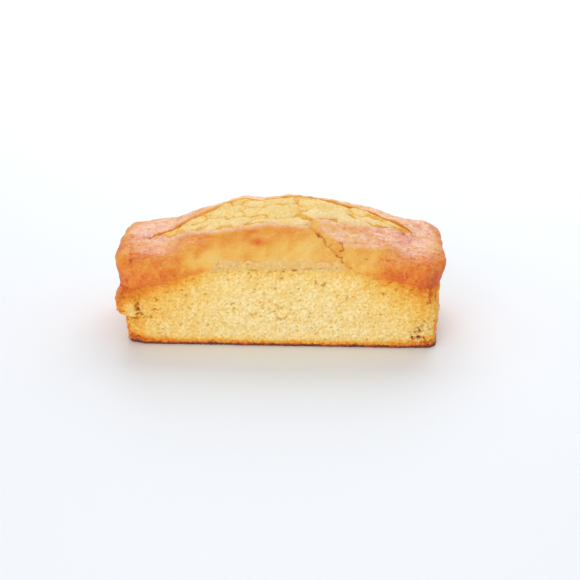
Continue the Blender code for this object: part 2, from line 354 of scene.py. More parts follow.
def split_lips(x):
    """Front and back edge of the split across the loaf, at x."""
    share = np.clip((x - SPLIT_START) / (SPLIT_END - SPLIT_START), 0.0, 1.0)
    axis = SPLIT_TIP_PLACE[0] + (SPLIT_TIP_PLACE[1] - SPLIT_TIP_PLACE[0]) * share
    opening = np.sqrt(np.clip(np.sin(math.pi * share), 0.0, 1.0))
    step_back = PLATE_STEP * smooth_step(PLATE_END - 2.0, PLATE_END + 2.0, x)
    forward = FRONT_OPENING + 2.0 * hump(x, PLATE_END - 2.0, 6.0) - step_back
    front = axis - opening - (forward - 1.0) * plateau(x, FRONT_OPENS)
    behind = axis + (BACK_OPENING + 0.9 * np.sin(x / 6.0)) * opening
    return front, behind


# %% Damage to the walls
def corner_distance(plan, side):
    """Way round from a front corner: positive along the front, negative
    along the end."""
    corner_x = side * (TIN_LENGTH / 2.0 - CORNER_RADIUS * 0.3)
    corner_y = -(TIN_WIDTH / 2.0 - CORNER_RADIUS * 0.3)
    along_front = side * (corner_x - plan[..., 0])
    along_end = plan[..., 1] - corner_y
    return np.where(along_front > along_end, along_front, -along_end)


def wall_offset(plan, level):
    """Offset of the wall from the tin line: the tin's taper, the torn left
    corner and the crumbled hollow on the right one."""
    taper = -TIN_DRAFT * (1.0 - level / TIN_LEVEL)
    near_tear = plateau(corner_distance(plan, -1.0), (-30.0, -10.0, 6.0, 13.0))
    hanging = plateau(level, (TORN_LEVEL - 1.5, TORN_LEVEL + 2.0, 27.0, 37.0))
    below = 1.0 - smooth_step(TORN_LEVEL - 2.5, TORN_LEVEL, level)
    inset = (0.35 + 0.65 * (1.0 - level / TORN_LEVEL)) * below
    tear = near_tear * (TORN_BULGE * hanging - TORN_INSET * inset)
    chip = hump(corner_distance(plan, 1.0), CHIP_PLACE[0], CHIP_SIZE)
    chip *= hump(level, CHIP_PLACE[1], CHIP_SIZE)
    return taper + tear - CHIP_DEPTH * chip


def crack_step(x, y):
    """Drop of the crust on the right of the oblique crack in its front."""
    beyond = x - np.interp(y, CRACK_FEET[0], CRACK_FEET[1])
    step = plateau(beyond, (-1.2, 1.2, 20.0, 55.0))
    return CRACK_STEP * step * smooth_step(25.0, 30.0, -y)


def crown_edge(inner, outward, contact):
    """Offset of the wall at the crust's edge, and how far out and up from
    there the crown is widest."""
    to_end = facing(outward)[2]
    wall = wall_offset(ring_plan(inner, outward), contact)
    sizes = []
    for table in (OVERHANG, LIP_HEIGHT):
        at_end = end_value(table, outward)
        sizes.append(table["side"] + (at_end - table["side"]) * to_end)
    return wall, sizes[0], sizes[1]


def plan_middle():
    """Middle of the loaf's box in the rules' own coordinates."""
    inner, outward, plan = tin_line(np.linspace(0.0, 1.0, 400, endpoint=False))
    contact = contact_level(plan, outward)
    wall, overhang, _ = crown_edge(inner, outward, contact)
    widest = ring_plan(inner, outward, wall + overhang)
    torn = ring_plan(inner, outward, wall_offset(plan, TORN_MIDDLE))
    both = np.concatenate([widest, torn])
    return 0.5 * (both.min(axis=0) + both.max(axis=0))


MIDDLE = plan_middle()
print("the outline's own middle is", MIDDLE.round(2), "mm from the origin")

# %% [markdown]
# ## Turning grids of points into meshes
#
# Each surface starts as a grid: columns run round the loaf and rows climb it.
# A grid makes clean quads, and its rows and columns give a tidy UV map, named
# OFBake, for baking the finish. Numbers that steer the finish, such as how
# brown a place is, are stored on the points as attributes.

# %% Grid to mesh
UV_MARGIN = 0.002


def grid_mesh(name, points, attributes, closed):
    """A mesh object from rows of points in millimetres; closed joins the last
    column to the first."""
    rows, columns = points.shape[:2]
    points = points.copy()
    points[..., :2] -= MIDDLE
    spans = columns if closed else columns - 1
    row, column = np.meshgrid(np.arange(rows - 1), np.arange(spans), indexing="ij")
    corners = [(row + up, column + on) for up, on in ((0, 0), (0, 1), (1, 1), (1, 0))]
    quads = np.stack([up * columns + on % columns for up, on in corners], axis=-1)
    uv = np.stack([np.stack([on / spans, up / (rows - 1)], axis=-1) for up, on in corners],
                  axis=-2)
    uv = UV_MARGIN + (1.0 - 2.0 * UV_MARGIN) * uv
    quads = quads.reshape(-1, 4)
    mesh = bpy.data.meshes.new(name)
    mesh.vertices.add(rows * columns)
    mesh.vertices.foreach_set("co", (points * MM).astype(np.float32).ravel())
    mesh.loops.add(quads.size)
    mesh.loops.foreach_set("vertex_index", quads.ravel().astype(np.int32))
    mesh.polygons.add(len(quads))
    mesh.polygons.foreach_set("loop_start", np.arange(0, quads.size, 4, dtype=np.int32))
    mesh.update(calc_edges=True)
    layer = mesh.uv_layers.new(name="OFBake")
    layer.uv.foreach_set("vector", uv.reshape(-1, 2).astype(np.float32).ravel())
    for key, values in attributes.items():
        store = mesh.attributes.new(key, "FLOAT", "POINT")
        store.data.foreach_set("value", values.astype(np.float32).ravel())
    mesh.shade_smooth()
    piece = bpy.data.objects.new(name, mesh)
    bpy.context.scene.collection.objects.link(piece)
    return piece


# %% [markdown]
# ## Geometry Nodes helpers
#
# A tree is built once with named inputs and then used on several pieces with
# other numbers. `apply_trees` sets each input by its socket's identifier,
# evaluates the piece and keeps the result as a plain mesh.

# %% Tree helpers
SOCKET_KINDS = {float: "NodeSocketFloat", int: "NodeSocketInt", tuple: "NodeSocketVector",
                type(None): "NodeSocketMaterial"}


def new_tree(name, inputs):
    """A node group with a geometry in and out, and named inputs."""
    tree = bpy.data.node_groups.new(name, "GeometryNodeTree")
    tree.interface.new_socket("Geometry", in_out="INPUT", socket_type="NodeSocketGeometry")
    for label, value in inputs.items():
        socket = tree.interface.new_socket(label, in_out="INPUT",
                                           socket_type=SOCKET_KINDS[type(value)])
        if value is not None:
            socket.default_value = value
    tree.interface.new_socket("Geometry", in_out="OUTPUT", socket_type="NodeSocketGeometry")
    return tree


class Wiring:
    """Adds nodes to a tree and links them, so a tree reads as formulas."""

    def __init__(self, tree):
        self.tree = tree
        self.source = tree.nodes.new("NodeGroupInput") if tree.type == "GEOMETRY" else None

    def add(self, kind, inputs=None, **settings):
        node = self.tree.nodes.new(kind)
        for key, value in settings.items():
            setattr(node, key, value)
        for key, value in (inputs or {}).items():
            self.feed(node.inputs[key], value)
        return node

    def feed(self, socket, value):
        if isinstance(value, bpy.types.NodeSocket):
            self.tree.links.new(value, socket)
        else:
            socket.default_value = value

    def math(self, operation, first, second=0.0, third=0.0, clamp=False):
        node = self.add("ShaderNodeMath", {0: first, 1: second, 2: third},
                        operation=operation, use_clamp=clamp)
        return node.outputs[0]

    def vector(self, operation, first, second=(0.0, 0.0, 0.0)):
        node = self.add("ShaderNodeVectorMath", {0: first, 1: second}, operation=operation)
        return node.outputs[0]

    def scaled(self, vector, factor):
        node = self.add("ShaderNodeVectorMath", {0: vector, "Scale": factor},
                        operation="SCALE")
        return node.outputs[0]

    def spread(self, value, from_low, from_high, to_low=0.0, to_high=1.0, shape="SMOOTHSTEP"):
        node = self.add("ShaderNodeMapRange",
                        {"Value": value, "From Min": from_low, "From Max": from_high,
                         "To Min": to_low, "To Max": to_high}, interpolation_type=shape)
        return node.outputs["Result"]

    def noise(self, place, scale, detail, roughness=0.5):
        return self.add("ShaderNodeTexNoise", {"Vector": place, "Scale": scale,
                                               "Detail": detail, "Roughness": roughness})

    def shake(self, place, scale, amount):
        """A smooth random shift, for waves about 1 / scale metres long."""
        colour = self.noise(place, scale, 1.0).outputs["Color"]
        return self.scaled(self.vector("SUBTRACT", colour, (0.5, 0.5, 0.5)), amount)

    def reseeded(self, place, step, seed):
        """The place moved by seed steps, so that no two patterns agree."""
        way = self.add("ShaderNodeCombineXYZ", dict(zip("XYZ", step))).outputs[0]
        return self.vector("ADD", place, self.scaled(way, seed))

    def pushed(self, geometry, offset):
        node = self.add("GeometryNodeSetPosition", {"Geometry": geometry, "Offset": offset})
        return node.outputs[0]

    def store(self, geometry, name, value, kind="FLOAT", domain="POINT"):
        node = self.add("GeometryNodeStoreNamedAttribute",
                        {"Geometry": geometry, "Name": name, "Value": value},
                        data_type=kind, domain=domain)
        return node.outputs[0]

    def end(self, geometry, material):
        """Turns the result to real mesh, dresses it and ends the tree."""
        real = self.add("GeometryNodeRealizeInstances", {"Geometry": geometry})
        dressed = self.add("GeometryNodeSetMaterial",
                           {"Geometry": real.outputs[0], "Material": material})
        self.add("NodeGroupOutput", {"Geometry": dressed.outputs[0]})

    def lot(self, colour, channel):
        """One channel of a cell's random colour."""
        kind = "ShaderNodeSeparateColor" if self.source is None else "FunctionNodeSeparateColor"
        return self.add(kind, {0: colour}).outputs[channel]

    def attribute(self, name):
        if self.source is None:
            return self.add("ShaderNodeAttribute", attribute_name=name).outputs["Fac"]
        node = self.add("GeometryNodeInputNamedAttribute", {"Name": name}, data_type="FLOAT")
        return node.outputs["Attribute"]


def apply_trees(piece, uses):
    """Runs (tree, {input: value}) pairs on the piece and keeps plain mesh."""
    for tree, values in uses:
        modifier = piece.modifiers.new(tree.name, "NODES")
        modifier.node_group = tree
        for item in tree.interface.items_tree:
            if item.in_out == "INPUT" and item.name in values:
                modifier[item.identifier] = values[item.name]
    bpy.context.view_layer.update()
    evaluated = piece.evaluated_get(bpy.context.evaluated_depsgraph_get())
    mesh = bpy.data.meshes.new_from_object(evaluated, preserve_all_data_layers=True,
                                           depsgraph=bpy.context.evaluated_depsgraph_get())
    old = piece.data
    piece.modifiers.clear()
    piece.data = mesh
    mesh.name = piece.name
    bpy.data.meshes.remove(old)
    count = sum(len(face.vertices) - 2 for face in mesh.polygons)
    print(f"{piece.name}: {count} triangles")
    return piece


# %% [markdown]
# ## Crumb pores
#
# Sliced or peeled pound cake shows a close crumb: thousands of round pits, most
# under a millimetre, a few twice that. A 3-D Voronoi pattern gives scattered
# cell centres. Where the surface passes near a centre, the tree sinks a pit
# and stores how strongly it is shaded in an attribute, from which the material
# paints shade into the pit.
# The tree handles one size of pit and is used several times over.

# %% Pore tree
def build_pore_tree():
    tree = new_tree("crumb_pores", {
        "Spacing": 0.0024, "Radius": 0.0005, "Depth": 0.0005, "Share": 0.5, "Shade": 1.0,
        "Stretch": (1.0, 1.0, 1.0), "Seed": 0.0, "Material": None})
    w = Wiring(tree)
    given = w.source.outputs
    place = w.add("GeometryNodeInputPosition").outputs[0]
    moved = w.vector("ADD", w.vector("DIVIDE", place, given["Stretch"]),
                     w.shake(place, 420.0, 0.0009))
    moved = w.reseeded(moved, (0.37, 0.61, 0.83), given["Seed"])
    cells = w.add("ShaderNodeTexVoronoi",
                  {"Vector": moved, "Scale": w.math("DIVIDE", 1.0, given["Spacing"])})
    least = w.math("SUBTRACT", 1.0, given["Share"])
    chosen = w.spread(w.lot(cells.outputs["Color"], "Red"), least, 1.0, shape="LINEAR")
    radius = w.math("MULTIPLY", given["Radius"], w.math("POWER", chosen, 0.5))
    gap = w.math("MULTIPLY", cells.outputs["Distance"], given["Spacing"])
    pit = w.spread(gap, radius, w.math("MULTIPLY", radius, 0.35))
    pit = w.math("MULTIPLY", pit, w.math("GREATER_THAN", radius, 0.00004))
    pit = w.math("MULTIPLY", pit, w.attribute("crumb"))
    sink = w.math("MULTIPLY", w.math("MULTIPLY", pit, given["Depth"]), -1.0)
    normal = w.add("GeometryNodeInputNormal").outputs[0]
    # painted shade for the pit, kept in the attribute that the materials darken by
    shade = w.math("MAXIMUM", w.attribute("painted_shade_and_char"), w.math("MULTIPLY", pit, given["Shade"]))
    sunk = w.pushed(given["Geometry"], w.scaled(normal, sink))
    w.end(w.store(sunk, "painted_shade_and_char", shade), given["Material"])
    return tree


PORES = build_pore_tree()
print("pore tree:", len(PORES.nodes), "nodes")

# %% [markdown]
# ## Crust relief
#
# The crown's skin dried before the cake had finished rising, so it is drawn
# into fine wrinkles along the loaf, pebbled near the ends, and pricked with
# small holes. One tree does all three; the attributes `wrinkle`, `pebble` and
# `holes` say where each belongs.
# The holes are darkened with painted shade, and the wrinkle ridges are noted so that the crust can
# lay its painted sheen on them.

# %% Relief tree
def build_relief_tree():
    tree = new_tree("crust_relief", {
        "Wrinkle spacing": 0.0016, "Wrinkle height": 0.0003, "Pebble size": 0.0017,
        "Pebble height": 0.00022, "Hole spacing": 0.006, "Hole radius": 0.0007,
        "Hole depth": 0.0006, "Seed": 0.0, "Material": None})
    w = Wiring(tree)
    given = w.source.outputs
    place = w.reseeded(w.add("GeometryNodeInputPosition").outputs[0], (0.31, 0.73, 0.57),
                       given["Seed"])
    swayed = w.vector("ADD", place, w.shake(place, 70.0, 0.012))
    along = w.vector("MULTIPLY", swayed, (0.16, 1.0, 1.0))
    folds = w.noise(along, w.math("DIVIDE", 1.0, given["Wrinkle spacing"]), 1.5, 0.45)
    ridge = w.math("ABSOLUTE", w.math("SUBTRACT", folds.outputs[0], 0.5))
    ridge = w.math("MULTIPLY", w.spread(ridge, 0.0, 0.16, 1.0, 0.0), w.attribute("wrinkle"))
    rise = w.math("MULTIPLY", ridge, given["Wrinkle height"])
    grains = w.add("ShaderNodeTexVoronoi",
                   {"Vector": place, "Scale": w.math("DIVIDE", 1.0, given["Pebble size"])},
                   feature="SMOOTH_F1")
    pebble = w.math("SUBTRACT", 0.6, grains.outputs["Distance"])
    pebble = w.math("MULTIPLY", pebble, w.attribute("pebble"))
    ridge = w.math("MAXIMUM", ridge, w.math("MULTIPLY", w.spread(pebble, 0.12, 0.42), 0.85))
    rise = w.math("MULTIPLY_ADD", pebble, given["Pebble height"], rise)
    cells = w.add("ShaderNodeTexVoronoi",
                  {"Vector": place, "Scale": w.math("DIVIDE", 1.0, given["Hole spacing"])})
    radius = w.math("MULTIPLY", w.spread(w.lot(cells.outputs["Color"], "Red"), 0.45, 1.0),
                    given["Hole radius"])
    gap = w.math("MULTIPLY", cells.outputs["Distance"], given["Hole spacing"])
    hole = w.spread(gap, radius, w.math("MULTIPLY", radius, 0.3))
    hole = w.math("MULTIPLY", hole, w.math("GREATER_THAN", radius, 0.0001))
    hole = w.math("MULTIPLY", hole, w.attribute("holes"))
    sink = w.math("MULTIPLY", hole, given["Hole depth"])
    normal = w.add("GeometryNodeInputNormal").outputs[0]
    # painted shade in the holes
    shade = w.math("MAXIMUM", w.attribute("painted_shade_and_char"), hole)
    moved = w.pushed(given["Geometry"], w.scaled(normal, w.math("SUBTRACT", rise, sink)))
    w.end(w.store(w.store(moved, "ridge", ridge), "painted_shade_and_char", shade), given["Material"])
    return tree


RELIEF = build_relief_tree()
print("relief tree:", len(RELIEF.nodes), "nodes")

# %% [markdown]
# ## Materials
#
# Crumb is matt, pale and slightly translucent, and it browns towards the tin.
# Crust is a thin satin film: golden where the oven was kind, orange-brown at
# the edges. All read a baking attribute from the mesh and add their own
# mottling, so no patch repeats. The base crust is the darkest and dullest.
# Pits, cracks, creases and the recess under the crust's edge are darkened with painted shade, and
# the crown's upward faces carry a pale pink painted sheen.

# %% Material helpers
def srgb(red, green, blue):
    """A linear colour from the usual 0-255 values."""
    share = np.array([red, green, blue]) / 255.0
    linear = np.where(share <= 0.04045, share / 12.92, ((share + 0.055) / 1.055) ** 2.4)
    return (*linear.tolist(), 1.0)


def colour_scale(w, value, stops):
    """A colour ramp: (place, colour) stops along a 0-1 value."""
    node = w.add("ShaderNodeValToRGB", {"Fac": value})
    elements = node.color_ramp.elements
    for i, (place, colour) in enumerate(stops):
        element = elements[i] if i < 2 else elements.new(place)
        element.position = place
        element.color = colour
    return node.outputs["Color"]


def mixed(w, factor, first, second, blend="MIX"):
    """Mixes two colours."""
    node = w.add("ShaderNodeMix", {0: factor, 6: first, 7: second},
                 data_type="RGBA", blend_type=blend)
    return node.outputs[2]


def start_material(name):
    """A new material, its wiring, and the place on the piece."""
    material = bpy.data.materials.new(name)
    material.use_nodes = True
    w = Wiring(material.node_tree)
    return material, w, w.add("ShaderNodeTexCoord").outputs["Object"]


def end_material(material, w, values, height, distance, strength):
    """Feeds the shader its values, and a bump from a height."""
    shader = material.node_tree.nodes["Principled BSDF"]
    bump = w.add("ShaderNodeBump", {"Height": height, "Distance": distance,
                                    "Strength": strength})
    for name, value in (*values.items(), ("Normal", bump.outputs[0])):
        w.feed(shader.inputs[name], value)
    return material


def mottled(w, place, start, *layers):
    """A value with noise added from (waves per metre, amount) rows."""
    for scale, amount in layers:
        noise = w.math("SUBTRACT", w.noise(place, scale, 2.0).outputs[0], 0.5)
        start = w.math("MULTIPLY_ADD", noise, amount, start)
    return start


def clamped(w, value):
    return w.math("ADD", value, 0.0, clamp=True)


def shader_dots(w, place, spacing, size, share):
    """Soft dots of random size, 1 in their middle."""
    cells = w.add("ShaderNodeTexVoronoi", {"Vector": place, "Scale": 1.0 / spacing})
    chosen = w.spread(w.lot(cells.outputs["Color"], "Green"), 1.0 - share, 1.0)
    radius = w.math("MULTIPLY", chosen, size / spacing)
    return w.spread(cells.outputs["Distance"], radius, w.math("MULTIPLY", radius, 0.3))


def tinted(w, colour, *tints):
    """The colour multiplied by tints, from (where, tint) rows."""
    for where, tint in tints:
        colour = mixed(w, where, colour, tint, "MULTIPLY")
    return colour


# %% Crumb material
CRUMB_SCALE = (
    (0.0, srgb(251, 233, 184)), (0.22, srgb(250, 221, 150)), (0.45, srgb(246, 200, 103)),
    (0.7, srgb(240, 163, 60)), (1.0, srgb(214, 110, 38)))
CRUMB_PORE_SHADE = srgb(220, 199, 126)
CREVICE_SHADE = srgb(224, 188, 140)
GRAIN_TINT = srgb(241, 230, 196)
SHADED_RECESS_CRUMB = srgb(226, 190, 134)
DRY_CRUMB = srgb(250, 230, 190)
CRUMB_DOT_SHADE = srgb(240, 226, 180)


def crumb_material():
    """Pale close crumb that browns where the attribute `bake` says."""
    material, w, place = start_material("pale_crumb")
    bake = mottled(w, place, w.attribute("bake"), (160.0, 0.12), (700.0, 0.2))
    grain = clamped(w, mottled(w, place, 0.5, (560.0, 3.4)))
    painted_shade_and_char = w.attribute("painted_shade_and_char")
    dots = w.math("MAXIMUM", shader_dots(w, place, 0.0019, 0.00075, 0.8),
                  shader_dots(w, place, 0.0012, 0.0005, 0.6))
    dots = w.math("MULTIPLY", dots, w.attribute("crumb"))
    # Pits, crevices and the small dots are darkened with painted shade; the grain is the crumb's
    # own uneven tone.
    colour = tinted(w, colour_scale(w, bake, CRUMB_SCALE), (grain, GRAIN_TINT),
                    (painted_shade_and_char, CRUMB_PORE_SHADE), (w.spread(painted_shade_and_char, 0.7, 1.0), CREVICE_SHADE),
                    (dots, CRUMB_DOT_SHADE))
    # painted shade in the recess under the crust's edge and in the chipped hollow
    recess_shading = w.math("MULTIPLY", w.attribute("painted_recess_shade"), mottled(w, place, 0.65, (330.0, 1.6)),
                   clamp=True)
    colour = mixed(w, recess_shading, colour, SHADED_RECESS_CRUMB)
    colour = mixed(w, w.math("MULTIPLY", w.attribute("dryness_and_sheen"), 0.45), colour, DRY_CRUMB)
    height = w.math("MULTIPLY_ADD", dots, -0.8, w.noise(place, 1900.0, 2.0).outputs[0])
    height = w.math("MULTIPLY_ADD", grain, -0.9, height)
    return end_material(material, w, {
        "Base Color": colour, "Roughness": 0.92, "Specular IOR Level": 0.25,
        "Subsurface Weight": 0.15, "Subsurface Radius": (1.0, 0.75, 0.4),
        "Subsurface Scale": 0.0012}, height, 0.0003, 0.6)


# %% Crust material
CRUST_SCALE = (
    (0.0, srgb(243, 204, 122)), (0.3, srgb(238, 185, 87)), (0.5, srgb(232, 160, 59)),
    (0.7, srgb(226, 130, 40)), (0.86, srgb(218, 104, 34)), (1.0, srgb(192, 80, 28)))
CRUST_SHADE_AND_SPOT_TINT = srgb(206, 146, 74)
CHAR_AND_DEEP_PIT_SHADE = srgb(134, 98, 80)
PAINTED_SHEEN = srgb(249, 218, 207)


def crust_material():
    """Satin golden crust over the crown and the ends."""
    material, w, place = start_material("golden_crust")
    painted_shade_and_char = w.attribute("painted_shade_and_char")
    grainy = w.math("MULTIPLY_ADD", w.attribute("pebble"), 0.42, 0.1)
    bake = mottled(w, place, w.attribute("bake"), (110.0, 0.18), (420.0, grainy),
                   (1000.0, grainy))
    # painted sheen: a pale pink skin standing for the room's reflection, strongest on wrinkle
    # ridges; on the split's crumb this attribute is real dryness
    sheen_amount = w.math("MULTIPLY_ADD", w.attribute("ridge"), 0.6, 0.3)
    sheen_amount = w.math("MULTIPLY", w.attribute("dryness_and_sheen"), mottled(w, place, sheen_amount, (800.0, 0.95)),
                    clamp=True)
    # Holes, cracks and creases are darkened with painted shade, the dark spots with their own char
    # colour; the deepest places, spots and hole centres alike, get the char and deep shade tint.
    specks = shader_dots(w, place, 0.0017, 0.00045, 0.6)
    shade_and_specks = w.math("MAXIMUM", painted_shade_and_char, w.math("MULTIPLY", specks, 0.5))
    colour = mixed(w, w.math("MULTIPLY", sheen_amount, 0.85), colour_scale(w, bake, CRUST_SCALE),
                   PAINTED_SHEEN)
    colour = tinted(w, colour, (shade_and_specks, CRUST_SHADE_AND_SPOT_TINT), (w.spread(painted_shade_and_char, 0.84, 1.0), CHAR_AND_DEEP_PIT_SHADE))
    shine = w.math("SUBTRACT", 1.0, w.math("MULTIPLY", shade_and_specks, 0.85))
    return end_material(material, w, {
        "Base Color": colour, "Roughness": mottled(w, place, 0.5, (500.0, 0.3)),
        "Specular IOR Level": w.math("MULTIPLY", shine, 0.3),
        "Coat Weight": w.math("MULTIPLY", shine, 0.1), "Coat Roughness": 0.3, "IOR": 1.5,
        "Subsurface Weight": 0.05, "Subsurface Radius": (1.0, 0.5, 0.2),
        "Subsurface Scale": 0.001}, w.noise(place, 950.0, 4.0, 0.62).outputs[0], 0.0004, 0.65)


# %% Base crust material
BASE_SCALE = (
    (0.0, srgb(238, 168, 72)), (0.4, srgb(222, 134, 52)), (0.7, srgb(188, 96, 42)),
    (1.0, srgb(124, 60, 32)))


def base_material():
    """Dull brown crust that lay on the tin's floor."""
    material, w, place = start_material("brown_base_crust")
    bake = mottled(w, place, w.attribute("bake"), (140.0, 0.5), (700.0, 0.5))
    return end_material(material, w, {
        "Base Color": colour_scale(w, bake, BASE_SCALE), "Roughness": 0.8,
        "Specular IOR Level": 0.3}, w.noise(place, 1300.0, 3.0).outputs[0], 0.0003, 0.7)


CRUMB = crumb_material()
CRUST = crust_material()
BASE = base_material()
print("materials:", CRUMB.name, CRUST.name, BASE.name)

# %% [markdown]
# ## Marks on a slanted sheet
#
# Cracks, spots and creases on the front are laid out on a flat sheet that
# leans back over the loaf, as a stencil would. Each mark is then a short list
# of places on that sheet, and the sheet's two directions turn any point of the
# loaf into a place on it.

# %% The sheet
SHEET_ALONG = (0.999, 0.045, 0.0)
SHEET_UP = (-0.016, 0.342, 0.940)


def centred(points):
    """Points measured from the middle of the loaf."""
    return points - np.append(MIDDLE, 0.0)


def on_sheet(points):
    """Places of the points on the slanted sheet, in millimetres."""
    laid = centred(points)
    return np.stack([laid @ np.array(SHEET_ALONG), laid @ np.array(SHEET_UP)], axis=-1)


def line_mark(places, path, width):
    """A soft line along a path: 1 in its middle."""
    return hump(path_distance(places, path)[0], 0.0, width)


def spot_marks(places, spots):
    """Soft round spots from (along, up, radius) rows."""
    total = np.zeros(places.shape[:-1])
    for along, up, radius in spots:
        gap = np.hypot(places[..., 0] - along, places[..., 1] - up)
        total = np.maximum(total, hump(gap, 0.0, radius))
    return total


# %% [markdown]
# ## Crumb sides
#
# When the cake was turned out, the skin of its long sides stayed on the tin.
# What shows is the crumb itself, gently uneven and browned only near the ends.
# Each side is one grid from corner to corner. In the middle the crust has
# drawn up, so a belly of crumb swells out under its edge; that band is darkened
# with painted shade, as is the chipped hollow a little. The top row is tucked
# behind the crust and the bottom row behind the base crust.

# %% Where the wall is bare, torn or chipped
FRONT_BAND = (-47.0, -37.0, 33.0, 47.0)
BACK_BAND = (-50.0, -30.0, 5.0, 30.0)
BAND_RISE = 6.6
TEAR_HOLLOW = ((-86.8, 28.6), (-87.2, 25.6))
TEAR_SLOTS = (((-86.6, 24.0), (-85.8, 23.4)), ((-88.0, 20.8), (-85.0, 21.0), (-84.0, 19.6)))
TEAR_RED = (-89.0, 18.2)
CHIP_MIDDLE = (86.5, 10.5)
CHIP_SLOTS = (((80.0, 6.8), (84.0, 6.4), (88.6, 6.0)), ((82.5, 10.6), (86.0, 10.2)),
              ((86.8, 3.4), (89.5, 3.0)), ((88.8, 5.0), (90.6, 4.2)))
CORNER_STREAK = ((90.6, 47.0), (91.4, 41.0), (91.8, 36.0), (91.2, 30.5))
BAND_SLITS = (((-17.5, 50.2), (-13.0, 51.0), (-9.6, 50.4)), ((-7.0, 49.2), (-3.6, 48.8)),
              ((2.5, 50.8), (7.0, 51.4), (11.0, 50.6)), ((15.0, 51.6), (19.5, 52.2)),
              ((24.0, 52.6), (31.0, 52.4)))
BIG_PORES = (
    (-15.4, 38.1, 1.3), (-1.9, 38.5, 0.9), (11.3, 38.5, 0.9), (-8.7, 34.6, 1.0), (-5.6, 30.0, 1.2),
    (-27.9, 27.8, 1.1), (-28.5, 25.6, 0.9), (-17.4, 20.8, 1.5), (-11.6, 20.2, 1.2),
    (0.9, 25.3, 1.4), (-3.5, 23.2, 1.1), (-0.6, 18.4, 1.7), (1.2, 18.2, 1.3), (3.6, 19.2, 1.2),
    (18.1, 19.6, 0.9), (12.6, 30.3, 1.0), (0.5, 45.1, 0.9), (-17.2, 46.0, 1.0), (-31.5, 43.9, 1.0),
    (-59.1, 36.7, 1.3), (-67.6, 35.3, 1.0), (-74.4, 29.9, 0.9), (-44.8, 34.4, 0.8),
    (-55.0, 25.1, 0.9), (-75.4, 23.3, 1.0), (-50.7, 19.9, 0.9), (-82.3, 17.8, 1.2),
    (-78.6, 18.3, 1.3), (-60.6, 13.7, 0.8), (-71.3, 10.9, 0.8), (22.2, 42.9, 1.3),
    (27.1, 41.6, 1.3), (41.0, 33.0, 0.9), (52.0, 27.0, 0.8), (63.0, 36.0, 1.1), (70.5, 38.5, 1.3),
    (57.5, 14.0, 0.8), (35.0, 12.0, 0.7))
LEFT_BROWNING = ((-98.0, -90.0, -78.0, -58.0, -30.0), (0.68, 0.5, 0.33, 0.19, 0.0))
RIGHT_BROWNING = ((32.0, 60.0, 76.0, 86.0, 98.0), (0.0, 0.13, 0.28, 0.5, 0.4))


def shares_between(first, last, spacing):
    """Shares of the way round from first to last, about spacing mm apart."""
    around = 2.0 * (TIN_LENGTH + TIN_WIDTH) - (8.0 - 2.0 * math.pi) * CORNER_RADIUS
    return np.linspace(first, last, int(abs(last - first) * around / spacing) + 1)


def share_of_corner(quarter, extra):
    """Share of the way round at a corner's middle, plus extra millimetres.
    Quarters are 0 front left, 1 front right, 2 back right, 3 back left."""
    half_y = TIN_WIDTH / 2.0 - CORNER_RADIUS
    half_x = TIN_LENGTH / 2.0 - CORNER_RADIUS
    arc = CORNER_RADIUS * math.pi / 2.0
    middles = (half_y + arc / 2, half_y + arc * 1.5 + 2 * half_x,
               3 * half_y + arc * 2.5 + 2 * half_x, 3 * half_y + arc * 3.5 + 4 * half_x)
    return (middles[quarter] + extra) / (4 * half_y + 4 * half_x + 4 * arc)


def bare_band(plan, outward):
    """1 where the crust's edge has drawn up from the tin line."""
    to_front, to_back, _ = facing(outward)
    front = to_front * plateau(plan[..., 0], FRONT_BAND)
    return front + 0.8 * to_back * plateau(plan[..., 0], BACK_BAND)


def belly(plan, outward, level):
    """How far the bare crumb swells out under the crust's edge."""
    foot = contact_level(plan, outward)
    return 1.25 * bare_band(plan, outward) * smooth_step(foot - 1.0, foot + 5.0, level)


def settle(points):
    """Pulls the ends in a little where they are narrower than the solid."""
    moved = points.copy()
    x, z = points[..., 0], points[..., 2]
    moved[..., 0] -= smooth_step(70.0, 98.0, x) * (1.2 + 1.6 * plateau(z, (22.0, 32.0, 40.0, 56.0)))
    moved[..., 0] += smooth_step(-70.0, -98.0, x) * 1.1 * plateau(z, (6.0, 16.0, 42.0, 52.0))
    return moved


def wall_points(share, levels, offset=0.0):
    """Points of the wall at each share and level, moved out by offset."""
    inner, outward, plan = tin_line(share)
    out = wall_offset(plan, levels) + belly(plan, outward, levels) + offset
    plan = ring_plan(inner, outward, out)
    return settle(np.concatenate([plan, levels[..., None]], axis=-1))


